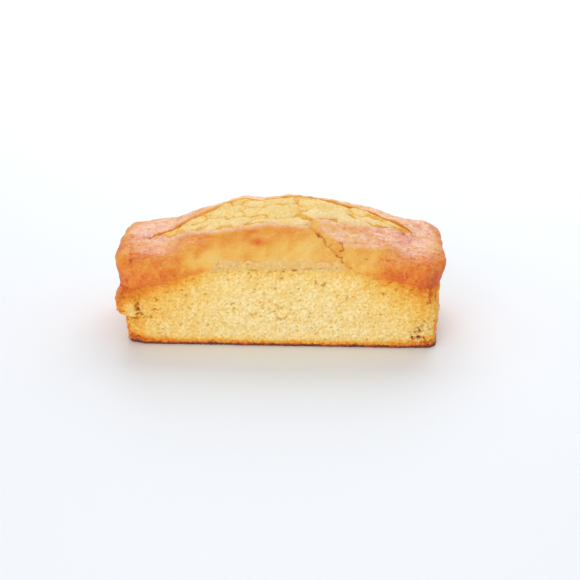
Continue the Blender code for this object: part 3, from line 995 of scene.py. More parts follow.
def wall_marks(points, seed):
    """Tears, slits and large pores of the front: how far they sink in
    millimetres, how much painted shade each place gets, how chipped and
    streaked it is, and how much the shade in cuts browns it."""
    flat = centred(points)[..., (0, 2)]
    shake = [ripples(points, 3.5, seed + 23), ripples(points, 3.0, seed + 24)]
    flat = flat + 0.45 * np.stack(shake, axis=-1)
    hollow = line_mark(flat, TEAR_HOLLOW, 1.5)
    slots = sum(line_mark(flat, path, 0.7) for path in TEAR_SLOTS)
    chip = np.hypot((flat[..., 0] - CHIP_MIDDLE[0]) / 7.0, (flat[..., 1] - CHIP_MIDDLE[1]) / 8.0)
    chip += layered(points, (0.22, 6.0, seed + 20), (0.08, 2.5, seed + 26))
    chipped = 1.0 - smooth_step(0.5, 1.15, chip)
    cuts = sum(line_mark(flat, path, 0.6) for path in CHIP_SLOTS)
    lumps = layered(points, (0.5, 3.6, seed + 21), (0.3, 1.9, seed + 22))
    cuts = cuts + 0.6 * chipped * smooth_step(0.5, 1.1, -lumps)
    streak = line_mark(flat, CORNER_STREAK, 1.0)
    slits = sum(line_mark(flat, path, 0.6) for path in BAND_SLITS)
    slits = slits * (0.6 + 0.4 * ripples(points, 5.0, seed + 25))
    pits = np.zeros(points.shape[:-1])
    for x, z, radius in BIG_PORES:
        gap = np.hypot((flat[..., 0] - x) / 1.15, flat[..., 1] - z)
        pits = np.maximum(pits, 1.0 - smooth_step(0.25 * radius, radius, gap))
    sink = 2.0 * hollow + 1.2 * slots + 0.8 * cuts + 0.4 * streak + 1.0 * slits + 0.9 * pits
    sink += chipped * (0.4 - lumps)
    shade = np.clip(0.8 * (hollow + slots + cuts) + slits + 0.85 * pits, 0.0, 1.0)
    return {"sink": sink, "shade": shade, "chipped": chipped, "streak": streak,
            "cut_shade": np.clip(hollow + slots + 1.2 * cuts, 0.0, 1.0)}


WALL_SPAN = 56.0                    # the tallest wall, for its count of rows
WALL_FOOT = 0.8                     # level of a wall's first row
WALL_TUCK = 1.6                     # how far it runs up behind the crust
PORE_SIZES = (
    # spacing, radius, depth, share, shade, stretch, what is added to the seed
    (0.0019, 0.00086, 0.0003, 0.95, 0.55, (1.15, 1.0, 0.9), 0.0),
    (0.0034, 0.0012, 0.0005, 0.7, 0.8, (1.25, 1.0, 0.85), 7.0),
    (0.0110, 0.0016, 0.0009, 0.4, 1.0, (1.35, 1.0, 0.85), 13.0))


def pores(spacing, radius, depth, share, shade, stretch, seed, material):
    """One use of the pore tree."""
    return PORES, {"Spacing": spacing, "Radius": radius, "Depth": depth, "Share": share,
                   "Shade": shade, "Stretch": stretch, "Seed": seed, "Material": material}


def side_baking(points, foot, torn, marks, seed):
    """How brown each place of a side is, 0 to 1."""
    x, z = centred(points)[..., 0], points[..., 2]
    reach = z / TIN_LEVEL
    # A little browner towards the top; with it the lower side is kept paler, a painted stand-in for
    # the floor's bounce light.
    bake = 0.02 + 0.15 * reach
    bake += (0.75 + 0.3 * reach) * np.interp(x, *LEFT_BROWNING)
    bake += (0.45 + 0.6 * reach) * np.interp(x, *RIGHT_BROWNING)
    away = 1.0 - plateau(x, (-66.0, -38.0, 44.0, 62.0))
    bake += 0.34 * away * np.exp(-(np.clip(foot - z, 0.0, 99.0) / 7.0) ** 1.3)
    bake += 0.2 * (1.0 - away) * np.exp(-(np.clip(foot + 1.0 - z, 0.0, 99.0) / 5.0) ** 1.3)
    bake += 0.55 * np.exp(-((np.clip(z - 3.2, 0.0, 99.0) / 1.9) ** 1.2))
    corner = np.exp(-(np.minimum(np.abs(x + 90.0), np.abs(x - 91.0)) / 7.0) ** 2)
    bake += 0.4 * corner * (1.0 - smooth_step(3.0, 10.0, z))
    bake += layered(points, (0.03, 11.0, seed + 5), (0.03, 4.0, seed + 7))
    bake += 0.5 * marks["streak"]
    bake -= 0.36 * torn * plateau(z, (17.0, 21.0, 26.0, 32.0)) * smooth_step(-98.5, -91.0, x)
    red = np.hypot((x - TEAR_RED[0]) / 3.2, (z - TEAR_RED[1]) / 1.8)
    bake += 0.45 * hump(red, 0.0, 1.0) * (seed == FRONT_SEED)
    chipped = marks["chipped"]
    bake = np.clip(bake, 0.0, 1.1) * (1.0 - 0.85 * chipped) + 0.1 * chipped
    # cuts, slots and the torn hollow are browned as painted shade
    return np.maximum(bake, 0.85 * marks["cut_shade"])


def crumb_side(name, first, last, column_spacing, row_spacing, seed):
    """One long side of bare crumb, from one corner to the next."""
    share = shares_between(first, last, column_spacing)
    rows = int(WALL_SPAN / row_spacing)
    climb = np.linspace(0.0, 1.0, rows)[:, None] * np.ones(len(share))
    share = np.ones((rows, 1)) * share
    outward, plan = tin_line(share)[1:]
    band = bare_band(plan, outward)
    foot = contact_level(plan, outward)
    top = foot + BAND_RISE * band + WALL_TUCK
    levels = WALL_FOOT + (top - WALL_FOOT) * climb
    rough = wall_points(share, levels)
    uneven = layered(rough, (0.26, 17.0, seed), (0.15, 5.0, seed + 1), (0.14, 2.1, seed + 2))
    uneven += 0.22 * band * smooth_step(foot, foot + 3.0, levels) * ripples(rough, 3.4, seed + 3)
    torn = plateau(corner_distance(rough, -1.0), (-30.0, -10.0, 8.0, 16.0)) * (rough[..., 1] < 0)
    uneven += torn * layered(rough, (0.42, 3.6, seed + 4), (0.2, 1.7, seed + 6))
    marks = dict.fromkeys(("sink", "shade", "chipped", "streak", "cut_shade"), 0.0 * levels)
    if seed == FRONT_SEED:
        marks = wall_marks(rough, seed)
    uneven -= marks["sink"]
    uneven *= smooth_step(1.2, 4.5, levels) * (1.0 - smooth_step(top - 1.6, top, levels))
    uneven -= 0.5 * (1.0 - smooth_step(1.0, 2.2, levels))
    uneven -= 0.7 * smooth_step(top - 1.2, top, levels)
    points = wall_points(share, levels, uneven)
    # painted shade under the crust's edge, and a little in the chipped hollow
    painted_recess_shade = 0.85 * band * smooth_step(foot - 0.2, foot + 2.2, levels) + 0.2 * marks["chipped"]
    crumb = smooth_step(2.6, 4.2, levels) * (1.0 - smooth_step(top - 2.2, top - 1.2, levels))
    piece = grid_mesh(name, points, {
        "bake": side_baking(points, foot, torn, marks, seed), "crumb": crumb,
        "painted_shade_and_char": marks["shade"], "painted_recess_shade": painted_recess_shade}, closed=False)
    return apply_trees(piece, [pores(*sizes, seed + extra, CRUMB)
                               for *sizes, extra in PORE_SIZES])


# %% Build the two crumb sides
FRONT_SEED = 31
FINE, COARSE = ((0.36, 0.5))
FRONT_SIDE = crumb_side("crumb_side_front", share_of_corner(0, -12.0), share_of_corner(1, 12.0),
                        FINE, FINE + 0.03, FRONT_SEED)
BACK_SIDE = crumb_side("crumb_side_back", share_of_corner(2, -12.0), share_of_corner(3, 12.0),
                       COARSE, COARSE, 57)

# %% [markdown]
# ## End skins
#
# The two ends kept their skin: golden, smooth and close to the tin. Each wraps
# round its corners and stops in a ragged edge over the crumb side, about half a
# millimetre thick, as peeled skin does.

# %% End skins
END_ARC = 112.0                     # length of a skin, round its end
END_SPAN = 38.0
END_TUCK = 1.2
SKIN_THICKNESS = 0.5
LOAF_ROUND = 560.0                  # about the way round the loaf


def end_skin(name, first, last, spacing, seed):
    """One end's skin, with ragged upright edges that tuck into the crumb."""
    columns = int(END_ARC / spacing)
    rows = int(END_SPAN / spacing)
    climb = np.linspace(0.0, 1.0, rows)[:, None] * np.ones(columns)
    across = np.ones((rows, 1)) * np.linspace(0.0, 1.0, columns)
    ragged = []
    for edge, number in ((first, 0), (last, 1)):
        line = np.stack([climb * 36.0, climb * 0.0, climb * 0.0 + 9.0 * number], axis=-1)
        drift = layered(line, (1.1, 9.0, seed + number), (0.5, 3.0, seed + 5 + number))
        ragged.append(edge + (drift * (1.0 if number else -1.0)) / LOAF_ROUND)
    share = np.mod(ragged[0] + (ragged[1] - ragged[0]) * across, 1.0)
    outward, plan = tin_line(share)[1:]
    top = contact_level(plan, outward) + END_TUCK
    levels = WALL_FOOT + (top - WALL_FOOT) * climb
    edge_gap = np.minimum(across, 1.0 - across) * END_ARC
    thickness = SKIN_THICKNESS * np.sqrt(smooth_step(0.0, 1.1, edge_gap))
    thickness -= 0.9 * np.exp(-edge_gap / 0.35) + 0.9 * smooth_step(top - 1.1, top, levels)
    rough = wall_points(share, levels)
    uneven = layered(rough, (0.35, 15.0, seed + 11), (0.2, 4.0, seed + 12))
    uneven *= smooth_step(1.0, 5.0, levels) * (1.0 - smooth_step(top - 3.0, top, levels))
    points = wall_points(share, levels, thickness + uneven)
    z = points[..., 2]
    bake = 0.5 + layered(points, (0.05, 19.0, seed + 13), (0.04, 5.0, seed + 14))
    bake += 0.3 * smooth_step(16.0, 38.0, z) + 0.2 * (1.0 - smooth_step(1.0, 10.0, z))
    bake += 0.2 * np.exp(-edge_gap / 1.0)
    torn = (1.0 - smooth_step(3.0, 8.0, across * END_ARC)) * (outward[..., 0] > 0.0)
    bake -= 0.45 * torn * plateau(z, (16.0, 24.0, 38.0, 44.0))
    even = 0.0 * bake
    piece = grid_mesh(name, points, {
        "bake": bake, "wrinkle": even + 0.15, "pebble": even + 0.8,
        "holes": smooth_step(0.5, 2.0, edge_gap)}, closed=False)
    return apply_trees(piece, (
        (RELIEF, {"Pebble height": 0.0002, "Hole spacing": 0.0042, "Hole radius": 0.0007,
                  "Hole depth": 0.0005, "Seed": seed * 1.0, "Material": CRUST}),))


END_SPACING = 0.5
LEFT_END = end_skin("end_skin_left", share_of_corner(3, 2.0) - 1.0, share_of_corner(0, -3.0),
                    END_SPACING, 71)
RIGHT_END = end_skin("end_skin_right", share_of_corner(1, 4.5), share_of_corner(2, -2.0),
                     END_SPACING, 93)

# %% [markdown]
# ## The crown
#
# The crown is one closed strip of crust round the loaf. It starts tucked
# behind the wall, comes out as a lip, swells to its widest line, rolls over
# the shoulder and climbs to the split, where its torn edge curls over and
# tucks down again.

# %% Marks on the crown
CRACK = ((11.7, 59.7), (15.9, 58.3), (19.8, 55.5), (22.5, 52.1), (24.6, 49.6), (28.1, 46.3),
         (30.8, 43.5), (32.6, 40.8), (34.2, 38.6), (35.2, 36.2), (37.3, 33.7), (39.0, 31.6))
RED_CRACK = ((33.8, 48.0), (35.6, 46.2), (36.0, 44.7), (34.8, 43.0))
CRACK_ACCENTS = (((21.9, 52.8), (23.0, 51.8), (24.7, 51.2)),
                 ((32.7, 40.4), (33.7, 38.7), (35.6, 38.9)), ((35.6, 36.8), (36.6, 34.9)))
SMALL_PITS = ((25.3, 49.6, 0.7), (28.5, 46.6, 0.8), (30.0, 45.0, 0.6), (40.2, 32.2, 1.0),
              (49.8, 37.8, 0.7), (59.6, 38.1, 0.6), (63.4, 37.8, 0.8), (67.0, 37.0, 0.7),
              (53.0, 45.0, 0.5), (44.0, 49.5, 0.5), (77.7, 47.5, 0.8), (61.0, 48.0, 0.5),
              (-94.4, 25.0, 1.1), (-86.0, 30.5, 0.6), (-80.5, 29.0, 0.6), (-73.0, 33.5, 0.5),
              (94.1, 43.4, 0.7), (95.5, 40.5, 0.6), (87.0, 27.0, 0.7))
DARK_SPOTS = ((74.7, 54.4, 0.55), (76.0, 54.1, 0.5), (76.2, 43.2, 0.5), (78.2, 38.4, 0.5),
              (74.4, 29.1, 0.6))
RED_STREAKS = (((81.9, 35.9), (80.6, 33.2), (79.0, 30.8)), ((88.5, 47.6), (91.0, 45.9)),
               ((84.0, 25.4), (86.0, 24.8)))
RIGHT_CREASES = (((89.0, 28.0), (89.6, 24.0), (89.4, 21.0)), ((87.4, 25.6), (86.6, 22.5)))
LEFT_CREASE = ((-94.8, 50.9), (-94.1, 46.3), (-93.3, 41.3), (-92.6, 37.0), (-91.2, 30.6))
TIP_CREASE = ((-90.6, 50.0), (-86.4, 51.1), (-82.4, 52.8), (-79.1, 54.9))
LOW_CREASE = ((-93.0, 37.2), (-86.5, 38.4), (-79.4, 40.6))
HIGH_CREASES = (((-89.0, 45.6), (-84.0, 44.0), (-76.0, 45.2)), ((-72.0, 50.2), (-60.0, 52.2),
                (-50.0, 52.6)), ((-66.0, 47.6), (-56.0, 49.6), (-48.5, 49.0)))
FAINT_CREASE = ((-53.4, 45.8), (-53.0, 40.5), (-52.5, 36.0))
BLOTCHES = ((-15.5, 48.4, 5.2, 2.5, 0.5), (-18.3, 55.1, 4.0, 1.3, 0.2),
            (-44.7, 52.0, 3.5, 1.2, 0.16), (-31.9, 49.1, 3.0, 1.5, 0.12),
            (-48.5, 28.6, 4.5, 2.6, 0.08), (-39.9, 28.4, 2.6, 2.4, 0.14),
            (-45.6, 38.7, 8.5, 4.5, -0.3), (-56.5, 36.9, 3.5, 3.5, -0.2),
            (55.0, 34.0, 9.0, 4.0, -0.1), (88.0, 24.5, 7.0, 4.5, 0.2))
TOP_PIT = ((75.7, 20.0, 62.4), (80.4, 23.6, 60.5))
CORNER_PIT = (-95.2, 11.1, 58.3)
FRONT_LIP_SOFT = (-78.0, -62.0, 8.0, 17.0)
CRACK_WEIGHTS = (0.6, 0.14, 0.05)   # depth in mm, shade, browning
PIT_WEIGHTS = (0.5, 0.3, 0.1)
SPOT_KINDS = ((DARK_SPOTS, (0.25, 1.0, 0.3)), (SMALL_PITS, (0.4, 0.5, 0.1)))
LINE_KINDS = (
    # paths, half width, weights, whether the line is broken
    (CRACK_ACCENTS, 0.65, (0.8, 0.8, 0.05), False), ((RED_CRACK,), 0.65, (0.6, 0.7, 0.05), False),
    (RED_STREAKS, 0.7, (0.15, 0.15, 0.14), True), (RIGHT_CREASES, 0.6, (0.35, 0.15, 0.12), True),
    ((LEFT_CREASE,), 0.9, (0.7, 0.15, 0.1), True), ((TIP_CREASE,), 0.9, (0.6, 0.25, 0.1), False),
    ((LOW_CREASE,), 0.8, (0.5, 0.1, 0.06), True), (HIGH_CREASES, 0.9, (0.4, 0.0, 0.08), True),
    ((FAINT_CREASE,), 0.9, (0.4, 0.12, 0.04), True))
CROWN_TUCK = ((-2.2, 2.0), (-1.0, 0.7))  # rows behind the lip: out and up
TUCKED = -1.05                      # their place on the profile
LIP_SHARE = 0.15                    # share of the rows that the lip takes
LIP_SKIN = {"side": 0.12, "bare": 0.3, "end": 0.52}  # how far its edge stands off the wall
LIP_CREST = 0.9                     # how far the split's lip stands up
CURL = ((0.45, 0.1), (0.8, 0.45), (0.95, 0.95), (0.9, 1.5), (0.6, 2.1), (0.1, 2.7), (-0.6, 3.3),
        (-1.5, 3.8))                # forward and down, row by row
FOLD = ((25.0, 31.5, 37.5, 46.6, 55.6, 64.7, 70.6, 76.6, 82.5),
        (52.0, 49.0, 46.5, 44.1, 42.9, 42.3, 40.6, 38.7, 36.3))


def lens_places(share):
    """The lip point that each point of the outline runs to."""
    across = tin_line(share)[2][..., 0] / TIN_LENGTH + 0.5
    half = np.where(share < 0.5, share * 2.0, 2.0 - share * 2.0)
    mix = np.clip(0.6 * across + 0.4 * half, 0.0, 1.0)
    x = SPLIT_START + (SPLIT_END - SPLIT_START) * mix
    front, behind = split_lips(x)
    jagged = 0.5 * np.sin(x / 2.9 + 1.0) * np.sin(x / 7.1) + 0.16 * np.sin(x / 1.5)
    jagged *= smooth_step(2.0, 12.0, behind - front)
    y = np.where(share < 0.5, front + jagged, behind + 1.4 * jagged)
    return np.stack([x, y], axis=-1), behind - front


def crown_strip(columns_front, columns_back, rows):
    """Rows of crown points, and where each lies from lip to split."""
    share = np.concatenate([np.linspace(0.0, 0.5, columns_front, endpoint=False),
                            np.linspace(0.5, 1.0, columns_back, endpoint=False)])
    inner, outward, start = tin_line(share)
    band = bare_band(start, outward)
    line = np.stack([start[:, 0], start[:, 1], 0.0 * share], axis=-1)
    tin_level = contact_level(start, outward)
    ragged = layered(line, (0.6, 15.0, 201), (0.25, 4.5, 202))
    ragged += band * layered(line, (0.5, 7.0, 206), (0.3, 2.4, 207))
    ragged += (1.0 - band) * 0.28 * ripples(line, 2.6, 208)
    contact = tin_level + BAND_RISE * band + ragged
    wall, overhang, lip_height = crown_edge(inner, outward, tin_level)
    wall = wall + belly(start, outward, contact)
    overhang = overhang + 0.25 * ripples(line, 14.0, 203) - 1.0 * band
    low_corner = smooth_step(66.0, 98.0, start[:, 0]) * smooth_step(-20.0, 36.0, start[:, 1])
    to_end = facing(outward)[2]
    lip_height += LIP_SWELL * (1.0 - to_end) * smooth_step(40.0, 72.0, np.abs(start[:, 0]))
    widest = np.maximum(tin_level + lip_height - BACK_CORNER_DROP * low_corner, contact + 1.3)
    diagonal = (2.0 * outward[:, 0] * outward[:, 1]) ** 2
    softness = np.where(outward[:, 1] > 0.0, CORNER_SOFTNESS["back"], CORNER_SOFTNESS["front"])
    power = SHOULDER_ROUNDNESS["side"] + to_end * (
        SHOULDER_ROUNDNESS["end"] - SHOULDER_ROUNDNESS["side"])
    bow = np.cos(0.5 * math.pi * inner[:, 1] / (TIN_WIDTH / 2.0 - CORNER_RADIUS))
    bow = LEFT_CROWN_BOW * bow * np.clip(-outward[:, 0], 0.0, 1.0) ** 2
    strips, profile = [], []
    for out, rise in CROWN_TUCK:
        plan = ring_plan(inner, outward, wall + out)
        strips.append(np.column_stack([plan, contact + rise]))
        profile.append(0.0 * share + TUCKED)
    lip_rows = int(rows * LIP_SHARE)
    climb_rows = rows - lip_rows - len(CURL) - 3
    for rise in np.linspace(0.0, 1.0, lip_rows) ** 1.5:
        skin = LIP_SKIN["side"] + LIP_SKIN["bare"] * band
        skin = skin * math.sqrt(smooth_step(-0.02, 0.16, rise)) * (1.0 - to_end)
        out = skin + LIP_SKIN["end"] * to_end
        out += (overhang - 0.42) * smooth_step(0.0, 1.15, rise) ** 0.8 / 0.93
        out += (bow - softness * diagonal) * smooth_step(0.0, 1.0, rise)
        plan = ring_plan(inner, outward, wall + out)
        strips.append(np.column_stack([plan, contact + (widest - contact) * rise]))
        profile.append(0.0 * share + rise - 1.0)
    edge = strips[-1][:, :2]
    width = shoulder_width(edge, outward)
    lens, gap = lens_places(share)
    for way_in in np.linspace(0.0, 1.0, climb_rows)[1:] ** 1.35:
        plan = edge + (lens - edge) * way_in
        inward = np.sum((edge - plan) * outward, axis=1)
        turn = np.clip(1.0 - inward / width, 0.0, 1.0)
        climb = (1.0 - turn ** power) ** (1.0 / power)
        x, y = plan.T
        level = widest + (crown_level(x, y) - crack_step(x, y) - widest) * climb
        level += LIP_CREST * smooth_step(0.72, 1.0, way_in) ** 2
        strips.append(np.column_stack([plan, level]))
        profile.append(0.0 * share + way_in)
    soft = plateau(lens[:, 0], FRONT_LIP_SOFT) * (share < 0.5)
    across = np.where(share < 0.5, 1.0, -1.0) * smooth_step(0.0, 4.0, gap)
    last = strips[-1]
    for step, (forward, drop) in enumerate(CURL):
        row = last.copy()
        row[:, 1] += (forward + 0.5 * step * soft) * across
        row[:, 2] -= drop
        strips.append(row)
        profile.append(0.0 * share + 1.0 + 0.1 * (step + 1))
    shape = (len(strips), len(share))
    return settle(np.array(strips)), np.array(profile), np.broadcast_to(share, shape)


def crown_marks(points, share, profile):
    """Depth, shade and browning of the cracks, creases, pits and spots."""
    shake = [layered(points, (0.45, 7.0, seed), (0.28, 2.4, seed + 1)) for seed in (321, 325)]
    sheet = on_sheet(points) + np.stack(shake, axis=-1)
    seen = (share < 0.5) * (profile < 1.05)
    gap, along = path_distance(sheet, CRACK)
    wide = 0.32 + 0.12 * np.abs(np.sin(along * 21.0)) + 0.12 * smooth_step(0.0, 0.3, along)
    uneven = np.clip(0.6 + 0.5 * ripples(points, 4.5, 331), 0.1, 1.0)
    laid = centred(points)
    pit = np.linalg.norm(laid - np.array(CORNER_PIT), axis=-1)
    pit = np.maximum(line_mark(laid, TOP_PIT, 0.9), hump(pit, 0.0, 1.6))
    masks = [(hump(gap, 0.0, wide) * seen, CRACK_WEIGHTS), (pit, PIT_WEIGHTS)]
    masks += [(spot_marks(sheet, spots) * seen, weights) for spots, weights in SPOT_KINDS]
    for paths, width, weights, broken in LINE_KINDS:
        lines = sum(line_mark(sheet, path, width) for path in paths) * seen
        masks.append((lines * uneven if broken else lines, weights))
    return [sum(weights[i] * mask for mask, weights in masks) for i in range(3)]


def crown_baking(points, profile, share, browning):
    """How brown each place of the crown is, 0 to 1."""
    x = centred(points)[..., 0]
    sheet = on_sheet(points)
    front = (share < 0.5) * 1.0
    far = np.abs(x)
    bake = 0.36 + 0.2 * smooth_step(20.0, 86.0, far)
    ends = smooth_step(30.0, 84.0, far)
    low_edge = np.exp(-((np.clip(profile + 1.0, 0.0, 9.0) / 0.85) ** 2))
    bake += low_edge * (0.02 + 0.14 * ends + 0.19 * smooth_step(56.0, 88.0, x))
    bake += 0.04 * low_edge * smooth_step(-78.0, -92.0, x)
    flat_top = smooth_step(0.35, 0.75, profile) * (profile < 1.2)
    bake += flat_top * (0.02 + 0.11 * smooth_step(20.0, 40.0, x) * front)
    bake += 0.08 * (1.0 - smooth_step(-70.0, -50.0, x)) * front * (1.0 - flat_top)
    bake += 0.06 * plateau(x, (-78.0, -64.0, -44.0, -26.0)) * front * (1.0 - flat_top)
    bake += 0.06 * flat_top * (1.0 - smooth_step(-84.0, -60.0, x))
    below_lip = plateau(profile, (0.4, 0.78, 0.9, 0.97)) * plateau(x, (-66.0, -40.0, 12.0, 22.0))
    bake += 0.14 * below_lip * front
    bake -= 0.08 * hump(profile, -0.1, 0.4) * plateau(x, (-35.0, -10.0, 26.0, 36.0)) * front
    bake += 0.06 * smooth_step(1.0, 1.2, profile) + 0.1 * smooth_step(1.2, 1.6, profile)
    for along, up, half_along, half_up, amount in BLOTCHES:
        gap = np.hypot((sheet[..., 0] - along) / half_along, (sheet[..., 1] - up) / half_up)
        bake += amount * hump(gap, 0.0, 1.0) * front
    bake += 0.13 * smooth_step(58.0, 84.0, x) * (1.0 - smooth_step(0.0, 0.35, profile))
    bake = np.minimum(bake, 0.8) + 0.5 * np.maximum(bake - 0.8, 0.0)
    return bake + browning + layered(points, (0.045, 24.0, 311), (0.04, 9.0, 312))


def on_crown(profile):
    """1 on the open crown, 0 where its edges tuck in."""
    return smooth_step(-0.95, -0.6, profile) * (1.0 - smooth_step(0.99, 1.08, profile))


def slab_mask(sheet, profile, ragged):
    """1 on the flat plate to the right of the crack, which gets painted sheen."""
    fold = np.interp(sheet[..., 0], *FOLD)
    above = smooth_step(-1.6, 3.6, sheet[..., 1] - fold + ragged)
    return above * smooth_step(18.0, 26.0, sheet[..., 0]) * (profile < 1.03)


CROWN_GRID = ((560, 300, 114))  # front, back, rows
CROWN_SHEEN_AND_WRINKLE = {"slab": (0.76, 0.95), "left": (1.0, 0.3), "right": (0.8, 0.3),
              "behind": (0.8, 0.6), "lip": (0.0, 0.7)}  # how much painted sheen, how wrinkled
LIP_SHEEN = 0.85


def build_crown():
    points, profile, share = crown_strip(*CROWN_GRID)
    outward = outline(share)[1]
    open_skin = on_crown(profile)
    x = centred(points)[..., 0]
    top = smooth_step(0.1, 0.42, profile)
    front = smooth_step(0.0, 0.04, share) * (1.0 - smooth_step(0.45, 0.5, share))
    ragged = 1.3 * ripples(points, 8.0, 342, stretch=(2.0, 1.0, 1.0))
    slab = slab_mask(on_sheet(points), profile, ragged) * front * (1.0 - smooth_step(84.0, 98.0, x))
    left = (1.0 - smooth_step(-86.0, -56.0, x)) * smooth_step(0.2, 0.52, profile)
    right = smooth_step(58.0, 84.0, x) * top
    behind = (1.0 - front) * top
    lip = plateau(profile, (0.84, 0.96, 1.02, 1.1)) * (share < 0.5) * (x < 18.0)
    depth, shade, browning = crown_marks(points, share, profile)
    swell = layered(points, (0.4, 26.0, 301), (0.25, 9.0, 302), (0.12, 3.6, 303))
    swell += 0.16 * left * ripples(points, 4.5, 304)
    swell += 0.16 * slab * ripples(points, 5.0, 305, stretch=(3.5, 1.0, 1.0))
    lift = swell * np.where(profile < 0.0, 0.45, 1.0) - depth
    lift *= smooth_step(-1.0, -0.75, profile) * (1.0 - smooth_step(1.0, 1.25, profile))
    tilt = smooth_step(0.0, 0.35, profile)
    points[..., :2] += outward * (lift * (1.0 - tilt) * 0.8)[..., None]
    points[..., 2] += lift * tilt
    bake = crown_baking(points, profile, share, browning)
    patchy = 0.86 + 0.26 * ripples(points, 9.0, 341, stretch=(1.6, 1.0, 1.0))
    patchy = np.clip(patchy + 0.12 * ripples(points, 3.2, 343), 0.1, 1.2)
    zones = {"slab": slab, "left": left, "right": right, "behind": behind, "lip": lip}
    sheen_amount, wrinkle = (
        np.maximum.reduce([CROWN_SHEEN_AND_WRINKLE[key][i] * zone for key, zone in zones.items()])
        for i in range(2))
    # Painted sheen: a pale pink skin on the upward faces of the crown and along the split's front
    # lip, standing for the reflection of the bright room.
    dryness_and_sheen = sheen_amount * patchy + LIP_SHEEN * lip
    wrinkle = np.clip(0.1 + wrinkle, 0.0, 1.0)
    ends = smooth_step(35.0, 80.0, np.abs(x))
    torn_edge = smooth_step(-1.0, -0.9, profile) * (1.0 - smooth_step(-0.75, -0.2, profile))
    torn_edge *= plateau(np.abs(x), (40.0, 50.0, 84.0, 92.0)) + 0.3 * ends
    piece = grid_mesh("crown_crust", points, {
        "bake": bake, "wrinkle": wrinkle * open_skin, "pebble": (0.25 + 0.75 * ends) * open_skin,
        "holes": (0.2 + 0.8 * ends) * open_skin, "dryness_and_sheen": np.clip(dryness_and_sheen, 0.0, 1.0) * open_skin,
        "painted_shade_and_char": np.clip(shade, 0.0, 1.0), "crumb": torn_edge}, closed=True)
    return apply_trees(piece, (
        (RELIEF, {"Wrinkle spacing": 0.0021, "Wrinkle height": 0.0003, "Pebble size": 0.0017,
                  "Pebble height": 0.0003, "Hole spacing": 0.0034, "Hole radius": 0.00062,
                  "Hole depth": 0.0005, "Seed": 3.0, "Material": CRUST}),
        pores(0.0026, 0.0012, 0.0005, 0.9, 0.8, (1.2, 1.0, 0.9), 23.0, CRUST)))


CROWN = build_crown()

# %% [markdown]
# ## The split's crumb
#
# As the middle rose, it burst the crust and baked into soft, pale lumps. Each
# lump is a pillow with a place, a length and width, and a height; creases form
# by themselves where two pillows meet. Next to the crust the crumb dips into a
# furrow and turns golden, and its driest ridges are almost white.

# %% Split crumb
LUMPS = (
    # along, across, half length, half width, height, dryness
    (-73.0, -4.5, 8.0, 5.5, 0.5, 0.1), (-59.0, -1.0, 9.5, 7.0, 1.2, 0.2),
    (-49.0, -13.0, 10.5, 4.4, 1.1, 0.5), (-45.0, 4.5, 11.0, 8.0, 1.0, 0.1),
    (-34.0, -5.5, 11.0, 9.0, 2.1, 0.2), (-26.0, 10.5, 12.0, 6.5, 1.0, 0.1),
    (-7.5, -13.5, 16.5, 8.5, 2.2, 0.25), (-5.0, 5.0, 18.0, 9.0, 1.7, 0.2),
    (25.0, -1.0, 19.0, 10.5, 1.4, 0.2), (35.0, -14.8, 20.0, 4.2, 1.9, 1.0),
    (50.0, 2.5, 12.0, 7.0, 1.0, 0.2), (65.0, -2.0, 10.0, 5.0, 0.8, 0.3),
    (20.0, 12.0, 15.0, 5.0, 0.9, 0.2), (-30.0, -21.0, 20.0, 3.4, 1.3, 0.6),
    (2.0, -24.6, 17.0, 3.2, 1.2, 0.6), (56.0, -7.5, 11.0, 3.2, 0.9, 0.8))
LUMP_SPREAD = 1.17                  # how far the lumps swell into each other
VALLEY = -0.6                       # height between the lumps
SPLIT_TUCK = 1.3                    # how far the crumb runs in under the crust
CREASES = (((-24.5, 1.0), (-23.0, -5.0)),
           ((7.3, 5.0), (9.0, -3.2), (12.0, -9.0)),
           ((-9.0, -4.0), (-1.0, -3.2), (5.0, -6.5)))


def lump_field(place):
    """Height of the lumps above the valleys, how deep in a lump each place is
    and how dry it is."""
    x = place[..., 0] + 2.2 * ripples(place, 15.0, 412)
    y = place[..., 1] + layered(place, (1.2, 13.0, 414), (0.25, 7.0, 415))
    top, second = np.full(x.shape, VALLEY), np.full(x.shape, VALLEY)
    dryness_and_sheen, weights = 0.0 * x, np.full(x.shape, math.exp(-3.0))
    for along, across, half_along, half_across, height, dryness in LUMPS:
        reach = ((x - along) / half_along) ** 2 + ((y - across) / half_across) ** 2
        reach = reach / LUMP_SPREAD ** 2
        pillow = VALLEY + (height - VALLEY) * (1.0 - np.clip(reach, 0.0, 1.0)) ** 0.72
        higher = pillow > top
        second = np.where(higher, top, np.maximum(second, pillow))
        weight = np.exp(5.0 * pillow) * (pillow > VALLEY + 0.01)
        dryness_and_sheen, weights = dryness_and_sheen + dryness * weight, weights + weight
        top = np.where(higher, pillow, top)
    return top, smooth_step(0.0, 0.8, top - second), dryness_and_sheen / weights


SPLIT_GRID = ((460, 124))


